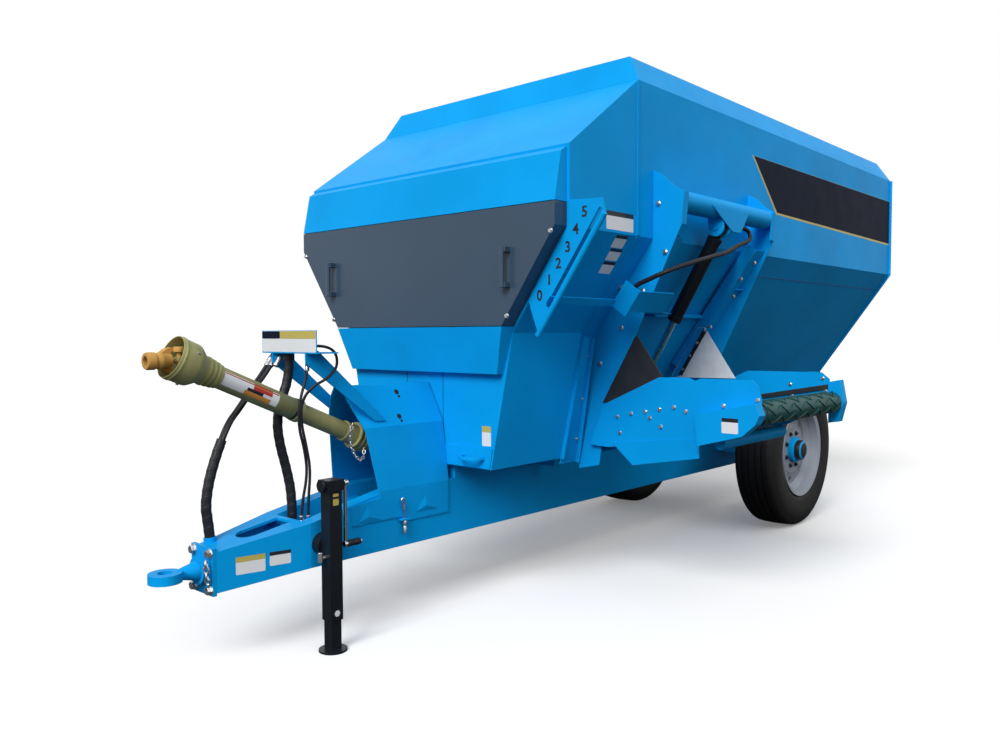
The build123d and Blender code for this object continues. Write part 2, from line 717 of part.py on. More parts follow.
# Discharge conveyor
FRONT_SIDE = [
    (538, 736),
    (618, 940),
    (935, 1085),
    (1090, 1088),
    (1120, 1074),
    (1150, 1086),
    (1395, 1087),
    (1425, 1062),
    (1440, 1000),
    (1440, 925),
    (1160, 806),
    (649, 733),
]
REAR_SIDE = [
    (560, 740),
    (640, 940),
    (905, 1070),
    (940, 1086),
    (1345, 1088),
    (1386, 1056),
    (1400, 925),
    (1160, 806),
    (649, 733),
]
HALF_PLATE = CONVEYOR_PLATE / 2
BELT_LEAN = degrees(atan2(OUTER_ROLLER[1] - INNER_ROLLER[1], OUTER_ROLLER[0] - INNER_ROLLER[0]))
BELT_RUN = hypot(OUTER_ROLLER[0] - INNER_ROLLER[0], OUTER_ROLLER[1] - INNER_ROLLER[1])
BELT_FRONT_X = GUIDE_FRONT_X - GUIDE_SHEET / 2 - 6
BELT_REAR_X = CONVEYOR_REAR_X + HALF_PLATE + 12

# Brackets between the conveyor's plates and the guides
HANGER_Y = (562, 588)
HANGER_Z = (748, 800)

with BuildPart() as conveyor_side_front:
    plate_yz(CONVEYOR_FRONT_X - HALF_PLATE, CONVEYOR_FRONT_X + HALF_PLATE, FRONT_SIDE)
    guide_face = GUIDE_FRONT_X + GUIDE_SHEET / 2 + SEAT
    block((guide_face, CONVEYOR_FRONT_X), HANGER_Y, HANGER_Z)
save(conveyor_side_front.part, "conveyor_side_front")

with BuildPart() as conveyor_side_rear:
    plate_yz(CONVEYOR_REAR_X - HALF_PLATE, CONVEYOR_REAR_X + HALF_PLATE, REAR_SIDE)
    guide_face = GUIDE_REAR_X + GUIDE_SHEET / 2 + SEAT
    block((guide_face, CONVEYOR_REAR_X), HANGER_Y, HANGER_Z)
save(conveyor_side_rear.part, "conveyor_side_rear")


def belt_plane(x):
    """Plane across X at the inner roller, turned so that its first axis runs along the belt."""
    along = (0, cos(radians(BELT_LEAN)), sin(radians(BELT_LEAN)))
    return Plane(origin=(x, *INNER_ROLLER), x_dir=along, z_dir=(1, 0, 0))


def belt_loop(x, radius):
    """Outline round both rollers at a radius, as a slot shape."""
    with BuildSketch(belt_plane(x), mode=Mode.PRIVATE) as loop:
        with Locations((BELT_RUN / 2, 0)):
            SlotCenterToCenter(BELT_RUN, 2 * radius)
    return loop.sketch


with BuildPart() as conveyor_belt:
    extrude(belt_loop(BELT_REAR_X, ROLLER_RADIUS + BELT_THICK), amount=BELT_FRONT_X - BELT_REAR_X)
    extrude(belt_loop(BELT_REAR_X, ROLLER_RADIUS), amount=BELT_FRONT_X - BELT_REAR_X, mode=Mode.SUBTRACT)
save(conveyor_belt.part, "conveyor_belt")

with BuildPart() as conveyor_rollers:
    for y, z in (INNER_ROLLER, OUTER_ROLLER):
        bar((BELT_REAR_X, y, z), (BELT_FRONT_X, y, z), ROLLER_RADIUS)
        bar((BELT_REAR_X - 12, y, z), (CONVEYOR_FRONT_X - HALF_PLATE, y, z), 16)
save(conveyor_rollers.part, "conveyor_rollers")

with BuildPart() as conveyor_bed:
    with BuildSketch(belt_plane(CONVEYOR_REAR_X + HALF_PLATE), mode=Mode.PRIVATE) as bed:
        with Locations((BELT_RUN / 2, ROLLER_RADIUS - 4)):
            Rectangle(BELT_RUN - 3 * ROLLER_RADIUS, 6)
        with Locations((BELT_RUN * 0.3, 4), (BELT_RUN * 0.7, 4)):
            Rectangle(50, 2 * ROLLER_RADIUS - 14)
    extrude(bed.sketch, amount=CONVEYOR_FRONT_X - CONVEYOR_REAR_X - CONVEYOR_PLATE)
save(conveyor_bed.part, "conveyor_bed")

GUARD_FACE_X = CONVEYOR_FRONT_X + HALF_PLATE
with BuildPart() as conveyor_drive_guard:
    plate_yz(
        GUARD_FACE_X,
        GUARD_FACE_X + 60,
        [(1150, 926), (1437, 991), (CONVEYOR_END_Y, 939), (1440, 900), (1380, 846), (1166, 787)],
    )
save(conveyor_drive_guard.part, "conveyor_drive_guard")

with BuildPart() as conveyor_skirt:
    plate_yz(
        GUARD_FACE_X,
        GUARD_FACE_X + 5,
        [(672, 760), (794, 658), (1147, 724), (1147, 815)],
    )
save(conveyor_skirt.part, "conveyor_skirt")

with BuildPart() as conveyor_end_bracket:
    bracket = [(1380, 1040), (1436, 1052), (CONVEYOR_END_Y, 937), (1434, 839), (1380, 830)]
    plate_yz(CONVEYOR_REAR_X - HALF_PLATE - 50, CONVEYOR_REAR_X - HALF_PLATE, bracket)
save(conveyor_end_bracket.part, "conveyor_end_bracket")

SEAL = [(1000, 958), (1380, 1028), (1380, 1004), (1000, 934)]
with BuildPart() as belt_seals:
    plate_yz(CONVEYOR_REAR_X + HALF_PLATE, CONVEYOR_REAR_X + HALF_PLATE + 10, SEAL)
    plate_yz(CONVEYOR_FRONT_X - HALF_PLATE - 10, CONVEYOR_FRONT_X - HALF_PLATE, SEAL)
save(belt_seals.part, "belt_seals")

# Flaps that close the corners between the guides and the conveyor
with BuildPart() as flap_rubber:
    plate_yz(
        GUIDE_FRONT_X + 3,
        GUIDE_FRONT_X + 9,
        [(780, 1262), (796, 1281), (941, 1086), (625, 948), (600, 948)],
    )
save(flap_rubber.part, "flap_rubber")

with BuildPart() as flap_white:
    plate_yz(
        CONVEYOR_REAR_X + HALF_PLATE,
        CONVEYOR_REAR_X + HALF_PLATE + 3,
        [(640, 1322), (683, 1322), (872, 1041), (514, 1036), (470, 1036)],
    )
save(flap_white.part, "flap_white")

# Chassis: two hollow rails, and cross members and bolsters under the trough
AXLE_HALF = AXLE_BEAM / 2
AXLE_SPAN = (AXLE_X - AXLE_HALF, AXLE_X + AXLE_HALF)
AXLE_LEVELS = (TYRE_RADIUS - AXLE_HALF, TYRE_RADIUS + AXLE_HALF)
with BuildPart() as chassis_rails:
    for side in (-1, 1):
        outer = side * RAIL_HALF
        inner = side * (RAIL_HALF - RAIL_THICK)
        rail_y = (min(outer, inner), max(outer, inner))
        section = [
            (RAIL_REAR_X, RAIL_BOTTOM_Z),
            (RAIL_FRONT_X, RAIL_BOTTOM_Z),
            (RAIL_FRONT_X, NOSE_REAR_TOP_Z),
            (RAIL_TAPER_X, RAIL_TOP_Z),
            (RAIL_REAR_X, RAIL_TOP_Z),
        ]
        plate_xz(rail_y[0], rail_y[1], section)
        with BuildSketch(Plane.XZ.offset(RAIL_WALL - rail_y[1]), mode=Mode.PRIVATE) as hollow:
            with BuildLine():
                Polyline(*section, close=True)
            make_face()
            offset(amount=-RAIL_WALL, kind=Kind.INTERSECTION)
        extrude(hollow.sketch, amount=RAIL_THICK - 2 * RAIL_WALL, mode=Mode.SUBTRACT)
    block(AXLE_SPAN, (-FAR, FAR), AXLE_LEVELS, mode=Mode.SUBTRACT)
save(chassis_rails.part, "chassis_rails")

BOLSTER_XS = (BOLSTER_FRONT_X, BOLSTER_MIDDLE_X, AXLE_X, RAIL_REAR_X + 50)
with BuildPart() as chassis_members:
    for x in (RAIL_TAPER_X + 20, *BOLSTER_XS):
        block(
            (x - BOLSTER_THICK / 2, x + BOLSTER_THICK / 2),
            (RAIL_THICK - RAIL_HALF, RAIL_HALF - RAIL_THICK),
            (RAIL_BOTTOM_Z + 60, RAIL_TOP_Z - 60),
        )
    for x in BOLSTER_XS:
        block(
            (x - BOLSTER_THICK / 2, x + BOLSTER_THICK / 2),
            (-BOLSTER_HALF, BOLSTER_HALF),
            (RAIL_TOP_Z, TROUGH_AXIS_Z - BOLSTER_CRADLE),
        )
        extrude(
            hopper_face(x - BOLSTER_THICK / 2 - 1), amount=BOLSTER_THICK + 2, mode=Mode.SUBTRACT
        )
    block((0, HOOD_LENGTH - 40), (-RAIL_HALF, RAIL_HALF), (RAIL_TOP_Z, HOOD_BOTTOM_Z))
    block(AXLE_SPAN, (-FAR, FAR), AXLE_LEVELS, mode=Mode.SUBTRACT)
save(chassis_members.part, "chassis_members")

# Drawbar nose: tapered box with an open slot in its top plate
with BuildPart() as drawbar_nose:
    with BuildSketch(Plane.YZ.offset(RAIL_FRONT_X), mode=Mode.PRIVATE) as nose_rear:
        with Locations((0, (RAIL_BOTTOM_Z + NOSE_REAR_TOP_Z) / 2)):
            Rectangle(2 * RAIL_HALF, NOSE_REAR_TOP_Z - RAIL_BOTTOM_Z)
    with BuildSketch(Plane.YZ.offset(NOSE_FRONT_X), mode=Mode.PRIVATE) as nose_front:
        with Locations((0, (NOSE_BOTTOM_Z + NOSE_TOP_Z) / 2)):
            Rectangle(2 * NOSE_HALF, NOSE_TOP_Z - NOSE_BOTTOM_Z)
    loft([nose_rear.sketch, nose_front.sketch], ruled=True)
    with BuildSketch(Plane.YZ.offset(RAIL_FRONT_X - 1), mode=Mode.PRIVATE) as hollow_rear:
        with Locations((0, (RAIL_BOTTOM_Z + NOSE_REAR_TOP_Z) / 2)):
            Rectangle(
                2 * (RAIL_HALF - NOSE_WALL), NOSE_REAR_TOP_Z - RAIL_BOTTOM_Z - 2 * NOSE_WALL
            )
    with BuildSketch(Plane.YZ.offset(NOSE_FRONT_X - 30), mode=Mode.PRIVATE) as hollow_front:
        with Locations((0, (NOSE_BOTTOM_Z + NOSE_TOP_Z) / 2 + 2)):
            Rectangle(
                2 * (NOSE_HALF - NOSE_WALL + 6), NOSE_TOP_Z - NOSE_BOTTOM_Z - 2 * NOSE_WALL + 4
            )
    loft([hollow_rear.sketch, hollow_front.sketch], ruled=True, mode=Mode.SUBTRACT)
    with Locations(Location((RAIL_FRONT_X + 130, 0, NOSE_REAR_TOP_Z - 30))):
        Box(220, 110, 120, mode=Mode.SUBTRACT)
save(drawbar_nose.part, "drawbar_nose")

# Hitch: flange on the nose and the swivelling eye
FLANGE_HALF = 80
NECK_RADIUS = 38
SPIGOT_RADIUS = 24
with BuildPart() as hitch_flange:
    flange_x = NOSE_FRONT_X
    block(
        (flange_x, flange_x + FLANGE_THICK),
        (-FLANGE_HALF, FLANGE_HALF),
        (HITCH_Z - 92, HITCH_Z + 92),
    )
    bar((flange_x, 0, HITCH_Z), (flange_x + FLANGE_THICK + 24, 0, HITCH_Z), NECK_RADIUS + 16)
    bar(
        (flange_x - 1, 0, HITCH_Z),
        (flange_x + FLANGE_THICK + 26, 0, HITCH_Z),
        SPIGOT_RADIUS + 0.5,
        mode=Mode.SUBTRACT,
    )
save(hitch_flange.part, "hitch_flange")

with BuildPart() as hitch_eye:
    neck_x = NOSE_FRONT_X + FLANGE_THICK + 24.5
    bar((NOSE_FRONT_X + 2, 0, HITCH_Z), (neck_x + 5, 0, HITCH_Z), SPIGOT_RADIUS)
    with BuildSketch(Plane.YZ.offset(neck_x), mode=Mode.PRIVATE) as neck_rear:
        with Locations((0, HITCH_Z)):
            Circle(NECK_RADIUS)
    with BuildSketch(Plane.YZ.offset(EYE_X - EYE_OUTER + 20), mode=Mode.PRIVATE) as neck_front:
        with Locations((0, HITCH_Z)):
            Circle(EYE_THICK / 2)
    loft([neck_rear.sketch, neck_front.sketch])
    bar((EYE_X, 0, HITCH_Z - EYE_THICK / 2), (EYE_X, 0, HITCH_Z + EYE_THICK / 2), EYE_OUTER)
    bar((EYE_X, 0, HITCH_Z - 60), (EYE_X, 0, HITCH_Z + 60), EYE_BORE, mode=Mode.SUBTRACT)
save(hitch_eye.part, "hitch_eye")

# Axle and wheels
SPINDLE_RADIUS = 36
HUB_Y = 470
with BuildPart() as axle_beam:
    block(AXLE_SPAN, (-HUB_Y, HUB_Y), AXLE_LEVELS)
    for side in (-1, 1):
        bar((AXLE_X, side * HUB_Y, TYRE_RADIUS), (AXLE_X, side * 690, TYRE_RADIUS), SPINDLE_RADIUS)
save(axle_beam.part, "axle_beam")

# Tyre and rim sections, drawn as (distance from the axle, distance from the wheel's middle)
HALF_TYRE = TYRE_WIDTH / 2
TYRE_SECTION = [
    (RIM_RADIUS, HALF_TYRE - 30),
    (RIM_FLANGE + 85, HALF_TYRE),
    (TYRE_RADIUS - 27, HALF_TYRE - 14),
    (TYRE_RADIUS, HALF_TYRE - 52),
]


def wheel_face(side, points):
    """Closed face of a wheel's section, in the plane of the axle above it."""
    middle = side * WHEEL_Y
    place = [(middle + side * width, TYRE_RADIUS + radius) for radius, width in points]
    return outline(Plane.YZ.offset(AXLE_X), place)


def turn(face, mode=Mode.ADD):
    """Turn a section about the wheels' axle."""
    revolve(face, axis=Axis((AXLE_X, 0, TYRE_RADIUS), (0, 1, 0)), revolution_arc=360, mode=mode)


def tyre(side):
    """Tyre as one plain ring."""
    section = TYRE_SECTION + [(radius, -width) for radius, width in reversed(TYRE_SECTION)]
    turn(wheel_face(side, section))


def rim(side):
    """Drop-centre rim with its disc."""
    t = 7
    section = [
        (RIM_FLANGE, HALF_TYRE - 8),
        (RIM_FLANGE, HALF_TYRE - 24),
        (RIM_RADIUS, HALF_TYRE - 28),
        (RIM_RADIUS, 60),
        (RIM_RADIUS - 40, 36),
        (RIM_RADIUS - 40, -36),
        (RIM_RADIUS, -60),
        (RIM_RADIUS, -HALF_TYRE + 28),
        (RIM_FLANGE, -HALF_TYRE + 24),
        (RIM_FLANGE, -HALF_TYRE + 8),
        (RIM_RADIUS - t, -HALF_TYRE + 16),
        (RIM_RADIUS - t, -62),
        (RIM_RADIUS - 40 - t, -38),
        (RIM_RADIUS - 40 - t, 38),
        (RIM_RADIUS - t, 62),
        (RIM_RADIUS - t, HALF_TYRE - 16),
    ]
    turn(wheel_face(side, section))
    disc = [
        (RIM_RADIUS - 44, 30),
        (RIM_RADIUS - 44, 16),
        (180, 30),
        (150, 46),
        (85, 46),
        (85, 60),
        (158, 60),
        (190, 44),
    ]
    turn(wheel_face(side, disc))
    with BuildSketch(Plane.XZ.offset(-side * WHEEL_Y), mode=Mode.PRIVATE) as holes:
        with Locations((AXLE_X, TYRE_RADIUS)):
            with PolarLocations(205, 8):
                Circle(20)
    extrude(holes.sketch, amount=70, both=True, mode=Mode.SUBTRACT)


def hub(side):
    """Hub on the spindle, with its flange, studs and cap."""
    section = [
        (SPINDLE_RADIUS + 0.5, -130),
        (72, -130),
        (72, 45),
        (130, 45),
        (130, 46 - 12),
        (142, 46 - 12),
        (142, 45),
        (142, 46),
        (84, 46),
        (84, 90),
        (62, 96),
        (62, 128),
        (50, 136),
        (0, 136),
        (0, 76),
        (SPINDLE_RADIUS + 0.5, 76),
    ]
    turn(wheel_face(side, section))


for side, name in ((1, "left"), (-1, "right")):
    with BuildPart() as tyre_part:
        tyre(side)
    save(tyre_part.part, f"tyre_{name}")
    with BuildPart() as rim_part:
        rim(side)
    save(rim_part.part, f"rim_{name}")
    with BuildPart() as hub_part:
        hub(side)
    save(hub_part.part, f"hub_{name}")

# Parking jack
with BuildPart() as jack_tube:
    half = JACK_TUBE / 2
    bore = half - JACK_WALL
    x_span = (JACK_X - half, JACK_X + half)
    block(x_span, (JACK_Y - half, JACK_Y + half), (JACK_BOTTOM_Z, JACK_TOP_Z))
    block(
        (JACK_X - bore, JACK_X + bore),
        (JACK_Y - bore, JACK_Y + bore),
        (JACK_BOTTOM_Z - 1, JACK_TOP_Z - 45),
        mode=Mode.SUBTRACT,
    )
    block((JACK_X - 40, JACK_X + 40), (JACK_Y - 34, JACK_Y + 34), (JACK_TOP_Z - 45, JACK_TOP_Z))
    bar((JACK_X, JACK_Y - half, 430), (JACK_X, RAIL_HALF, 430), 45)
    bar((JACK_X - 60, JACK_Y, JACK_TOP_Z - 22), (JACK_X - 40, JACK_Y, JACK_TOP_Z - 22), 9)
save(jack_tube.part, "jack_tube")

with BuildPart() as jack_crank:
    crank_x = JACK_X - 69.3
    top_z = JACK_TOP_Z - 22
    bar((crank_x + 9, JACK_Y, top_z), (crank_x - 9, JACK_Y, top_z), 14)
    bar((crank_x, JACK_Y, top_z), (crank_x, JACK_Y, top_z - 255), 8)
    bar((crank_x + 8, JACK_Y, top_z - 255), (crank_x - 78, JACK_Y, top_z - 255), 12)
save(jack_crank.part, "jack_crank")

with BuildPart() as jack_leg:
    leg = JACK_TUBE / 2 - JACK_WALL - JACK_FIT
    block(
        (JACK_X - leg, JACK_X + leg),
        (JACK_Y - leg, JACK_Y + leg),
        (JACK_FOOT_THICK, JACK_TOP_Z - 45 - 130),
    )
    bar((JACK_X, JACK_Y, 0), (JACK_X, JACK_Y, JACK_FOOT_THICK), JACK_FOOT_RADIUS)
save(jack_leg.part, "jack_leg")

# Augers: faceted helical flights on a tube shaft, one of each hand
AUGER_RADIUS = TROUGH_RADIUS - WALL - AUGER_CLEARANCE
FLIGHT_END = 40
FLIGHT_FROM_X = FLIGHT_END - HOPPER_LENGTH
FLIGHT_TO_X = -FLIGHT_END - END_WALL
SHAFT_TO_X = -0.5


def flight(axis_y, hand):
    """Helical strip as flat facets: two triangles a side for each step of the turn."""
    turns = (FLIGHT_TO_X - FLIGHT_FROM_X) / AUGER_PITCH
    steps = int(turns * AUGER_STEPS)
    inner = AUGER_SHAFT_RADIUS - 4
    rows = []
    for step in range(steps + 1):
        x = FLIGHT_FROM_X + step * AUGER_PITCH / AUGER_STEPS
        angle = hand * 2 * pi * step / AUGER_STEPS
        row = []
        for shift, radius in ((-1, inner), (-1, AUGER_RADIUS), (1, AUGER_RADIUS), (1, inner)):
            row.append(
                Vector(
                    x + shift * FLIGHT_THICK / 2,
                    axis_y + radius * cos(angle),
                    TROUGH_AXIS_Z + radius * sin(angle),
                )
            )
        rows.append(row)
    faces = [Face(Wire.make_polygon(rows[0])), Face(Wire.make_polygon(rows[-1]))]
    for near, far in zip(rows, rows[1:]):
        for corner in range(4):
            after = (corner + 1) % 4
            a, b, c, d = near[corner], near[after], far[after], far[corner]
            if corner in (1, 3):
                faces.append(Face(Wire.make_polygon([a, b, c, d])))
            else:
                faces.append(Face(Wire.make_polygon([a, b, c])))
                faces.append(Face(Wire.make_polygon([a, c, d])))
    return Solid(Shell(faces))


for side, name in ((1, "left"), (-1, "right")):
    axis_y = side * TROUGH_RADIUS
    strip = flight(axis_y, side)
    with BuildPart() as auger:
        bar(
            (AUGER_REAR_X, axis_y, TROUGH_AXIS_Z),
            (SHAFT_TO_X, axis_y, TROUGH_AXIS_Z),
            AUGER_SHAFT_RADIUS,
        )
        add(strip)
    save(auger.part, f"auger_{name}")

with BuildPart() as auger_bearings:
    for y, z in TROUGH_AXES:
        bar((REAR_X - 44, y, z), (REAR_X, y, z), 85)
        bar((REAR_X - 60, y, z), (REAR_X + 1, y, z), AUGER_SHAFT_RADIUS + SHAFT_FIT, mode=Mode.SUBTRACT)
save(auger_bearings.part, "auger_bearings")

# Gearbox inside the guard, with the stub fork of the shaft's rear joint
GEARBOX_X = (HOOD_LENGTH + 6, 690)
FORK_HALF = 30
with BuildPart() as gearbox:
    block(GEARBOX_X, (-105, 105), (670, 880))
    bar((GEARBOX_X[1], 0, PTO_PIVOT_Z), (PTO_PIVOT_X - 45, 0, PTO_PIVOT_Z), 24)
    for y in (-FORK_HALF, FORK_HALF):
        block(
            (PTO_PIVOT_X - 55, PTO_PIVOT_X),
            (y - 6, y + 6),
            (PTO_PIVOT_Z - 17, PTO_PIVOT_Z + 17),
        )
        bar((PTO_PIVOT_X, y - 6, PTO_PIVOT_Z), (PTO_PIVOT_X, y + 6, PTO_PIVOT_Z), 17)
    block(
        (PTO_PIVOT_X - 55, PTO_PIVOT_X - 43),
        (-FORK_HALF - 6, FORK_HALF + 6),
        (PTO_PIVOT_Z - 17, PTO_PIVOT_Z + 17),
    )
save(gearbox.part, "gearbox")

# PTO guard: folded hood open to the front and below
GUARD_REAR_X = HOOD_LENGTH + 7
GUARD_REACH = 1120
GUARD_SKIRT_HALF = RAIL_HALF + SEAT + GUARD_SHEET
GUARD_BEND = [(GUARD_TOP_HALF, 1060), (GUARD_SHOULDER_HALF, 878), (GUARD_SKIRT_HALF, RAIL_TOP_Z)]
GUARD_FRONT = [
    (GUARD_REAR_X, 445),
    (GUARD_REAR_X, 1100),
    (1030, 1100),
    (1035, 1006),
    (985, 850),
    (940, 573),
    (1105, 556),
    (1095, 470),
    (820, 470),
    (800, 445),
]
with BuildPart() as pto_guard:
    outer = GUARD_BEND + [(GUARD_SKIRT_HALF, 440)]
    inner = [(y - GUARD_SHEET, z - 1.2 * GUARD_SHEET) for y, z in GUARD_BEND]
    inner = inner + [(GUARD_SKIRT_HALF - GUARD_SHEET, 430)]
    plate_yz(GUARD_REAR_X, GUARD_REACH, mirror_y(outer))
    plate_yz(GUARD_REAR_X - 1, GUARD_REACH + 1, mirror_y(inner), mode=Mode.SUBTRACT)
    extrude(outline(Plane.XZ.offset(-FAR), GUARD_FRONT), amount=2 * FAR, mode=Mode.INTERSECT)
    seat_half = RAIL_HALF + SEAT
    levels = (RAIL_BOTTOM_Z, RAIL_TOP_Z + SEAT)
    block((0, GUARD_REACH), (-seat_half, seat_half), levels, mode=Mode.SUBTRACT)
save(pto_guard.part, "pto_guard")

# PTO shaft: two telescoping halves, raised on its rear joint, and the front yoke
PTO_PIVOT = Vector(PTO_PIVOT_X, 0, PTO_PIVOT_Z)
PTO_ALONG = Vector(cos(radians(PTO_ANGLE)), 0, sin(radians(PTO_ANGLE)))
PTO_UP = Vector(-sin(radians(PTO_ANGLE)), 0, cos(radians(PTO_ANGLE)))


def station(distance):
    """Point of the PTO shaft's axis at a distance from its rear joint."""
    return PTO_PIVOT + PTO_ALONG * distance


def station_plane(distance):
    """Plane across the shaft at a distance from its rear joint, with Y to its left."""
    return Plane(origin=station(distance), x_dir=(0, 1, 0), z_dir=PTO_ALONG)


def shaft_profile(points, mode=Mode.ADD):
    """Turn (station, radius) points about the shaft's axis."""
    plane = Plane(origin=PTO_PIVOT, x_dir=PTO_ALONG, z_dir=(0, -1, 0))
    revolve(
        outline(plane, points), axis=Axis(PTO_PIVOT, PTO_ALONG), revolution_arc=360, mode=mode
    )


with BuildPart() as pto_rear_half:
    low, high = PTO_COLLAR
    shaft_profile(
        [
            (40, 0),
            (40, 22),
            (low, 22),
            (low, 58),
            (low + 30, 60),
            (low + 34, 52),
            (low + 70, 52),
            (low + 74, 46),
            (high, 46),
            (high, PTO_REAR_RADIUS),
            (PTO_OVERLAP[1], PTO_REAR_RADIUS),
            (PTO_OVERLAP[1], 0),
        ]
    )
    for z in (-1, 1):
        arm = station(0) + PTO_UP * (z * 30)
        bar(arm - PTO_UP * 6, arm + PTO_UP * 6, 15)
        with BuildSketch(Plane(origin=arm, x_dir=PTO_ALONG, z_dir=PTO_UP), mode=Mode.PRIVATE) as ear:
            with Locations((24, 0)):
                Rectangle(48, 26)
        extrude(ear.sketch, amount=6, both=True)
    with BuildSketch(station_plane(42), mode=Mode.PRIVATE) as bridge:
        Rectangle(26, 72)
    extrude(bridge.sketch, amount=8)
    bar(station(0) - PTO_UP * 26, station(0) + PTO_UP * 26, 9)
    cross_half = FORK_HALF - 6 - SEAT
    bar((PTO_PIVOT_X, -cross_half, PTO_PIVOT_Z), (PTO_PIVOT_X, cross_half, PTO_PIVOT_Z), 9)
save(pto_rear_half.part, "pto_rear_half")

JOINT = station(PTO_JOINT)


def fork_ear(centre, side, run_x, run_z, back):
    """Ear of a fork at one side of the joint, its round end on the centre, added to the open part."""
    tilt = degrees(atan2(run_z, run_x))
    y = centre.Y + side * YOKE_EAR
    with BuildSketch(Plane.XZ.offset(-y - 6), mode=Mode.PRIVATE) as ear:
        with Locations(Location((centre.X, centre.Z), tilt)):
            with Locations((back / 2, 0)):
                Rectangle(abs(back), 30)
            Circle(16)
            Circle(CROSS_RADIUS + CROSS_FIT, mode=Mode.SUBTRACT)
    extrude(ear.sketch, amount=12)


with BuildPart() as pto_front_half:
    low, high = PTO_CONE
    seat = low + 20
    shaft_profile(
        [
            (PTO_OVERLAP[0], PTO_REAR_RADIUS + SEAT),
            (PTO_OVERLAP[0], PTO_FRONT_RADIUS),
            (low - 30, PTO_FRONT_RADIUS),
            (low - 30, PTO_FRONT_RADIUS + 4),
            (low, PTO_FRONT_RADIUS + 4),
            (low + 45, PTO_FRONT_RADIUS + 22),
            (high - 40, PTO_CONE_RADIUS - 3),
            (high, PTO_CONE_RADIUS),
            (high, PTO_CONE_RADIUS - 4),
            (high - 42, PTO_CONE_RADIUS - 8),
            (low + 48, PTO_FRONT_RADIUS + 16),
            (seat, 30),
            (seat, 24),
            (PTO_JOINT - 70, 24),
            (PTO_JOINT - 70, 34),
            (PTO_JOINT - 52, 34),
            (PTO_JOINT - 52, 0),
            (PTO_OVERLAP[1] + 20, 0),
            (PTO_OVERLAP[1] + 20, PTO_REAR_RADIUS + SEAT),
        ]
    )
    for side in (-1, 1):
        fork_ear(JOINT, side, PTO_ALONG.X, PTO_ALONG.Z, -54)
save(pto_front_half.part, "pto_front_half")

# Cross and yoke, level at rest, with the bore that takes a tractor's shaft
YOKE_TIP_X = JOINT.X + YOKE_REACH
with BuildPart() as pto_yoke:
    hub_x = YOKE_TIP_X - YOKE_HUB
    bar((hub_x, 0, JOINT.Z), (YOKE_TIP_X, 0, JOINT.Z), YOKE_HUB_RADIUS)
    for side in (-1, 1):
        level = JOINT.Z + side * YOKE_EAR
        with BuildSketch(Plane.XY.offset(level - 6), mode=Mode.PRIVATE) as ear:
            with Locations((JOINT.X, 0)):
                Circle(16)
                with Locations((24, 0)):
                    Rectangle(48, 30)
        extrude(ear.sketch, amount=12)
    bar((hub_x - 1, 0, JOINT.Z), (YOKE_TIP_X + 1, 0, JOINT.Z), PTO_BORE, mode=Mode.SUBTRACT)
    bar((JOINT.X, 0, JOINT.Z - YOKE_EAR), (JOINT.X, 0, JOINT.Z + YOKE_EAR), CROSS_RADIUS)
    cross_half = YOKE_EAR + 6
    bar((JOINT.X, -cross_half, JOINT.Z), (JOINT.X, cross_half, JOINT.Z), CROSS_RADIUS)
save(pto_yoke.part, "pto_yoke")

# Sign bracket on two arms above the guard
ARM_Y = GUARD_SHOULDER_HALF - 10
SIGN_X = 1288
SIGN_HALF = 195
SIGN_LEVEL = 1212
SIGN_HEIGHT = 94
ARM_HALF = 4
FACET = (GUARD_BEND[0][1] - GUARD_BEND[1][1]) / (GUARD_SHOULDER_HALF - GUARD_TOP_HALF)
ARM_FOOT_Z = GUARD_BEND[1][1] + (GUARD_SHOULDER_HALF - ARM_Y + ARM_HALF) * FACET + SEAT
with BuildPart() as sign_bracket:
    for y in (-ARM_Y, ARM_Y):
        arm = [
            (865, ARM_FOOT_Z),
            (925, ARM_FOOT_Z),
            (SIGN_X, SIGN_LEVEL - 42),
            (SIGN_X, SIGN_LEVEL + 10),
            (SIGN_X - 60, SIGN_LEVEL + 10),
        ]
        plate_xz(y - ARM_HALF, y + ARM_HALF, arm)
    tray_x = (SIGN_X - 110, SIGN_X)
    block(tray_x, (-SIGN_HALF, SIGN_HALF), (SIGN_LEVEL - 2, SIGN_LEVEL + 4))
    plate_xz(
        -SIGN_HALF,
        SIGN_HALF,
        [
            (SIGN_X - ARM_HALF, SIGN_LEVEL),
            (SIGN_X, SIGN_LEVEL),
            (SIGN_X, SIGN_LEVEL + SIGN_HEIGHT),
            (SIGN_X - ARM_HALF, SIGN_LEVEL + SIGN_HEIGHT),
        ],
    )
save(sign_bracket.part, "sign_bracket")

print("cylinder run", round(CYLINDER_RUN, 1))
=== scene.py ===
import math
import random

import bmesh
import bpy
from mathutils import Matrix, Vector


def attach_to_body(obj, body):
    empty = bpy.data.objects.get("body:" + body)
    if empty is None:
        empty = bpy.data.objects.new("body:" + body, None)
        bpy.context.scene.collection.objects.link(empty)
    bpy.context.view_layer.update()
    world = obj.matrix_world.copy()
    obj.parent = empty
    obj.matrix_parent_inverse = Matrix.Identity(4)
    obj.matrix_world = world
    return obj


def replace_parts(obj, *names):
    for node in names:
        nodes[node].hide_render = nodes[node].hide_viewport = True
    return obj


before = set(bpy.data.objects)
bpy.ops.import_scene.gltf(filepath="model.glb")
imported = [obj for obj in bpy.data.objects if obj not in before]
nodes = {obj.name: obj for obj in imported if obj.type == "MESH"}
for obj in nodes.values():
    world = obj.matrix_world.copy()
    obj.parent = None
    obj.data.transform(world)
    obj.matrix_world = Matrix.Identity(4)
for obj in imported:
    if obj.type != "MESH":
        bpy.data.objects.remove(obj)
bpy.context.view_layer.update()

random.seed(7)

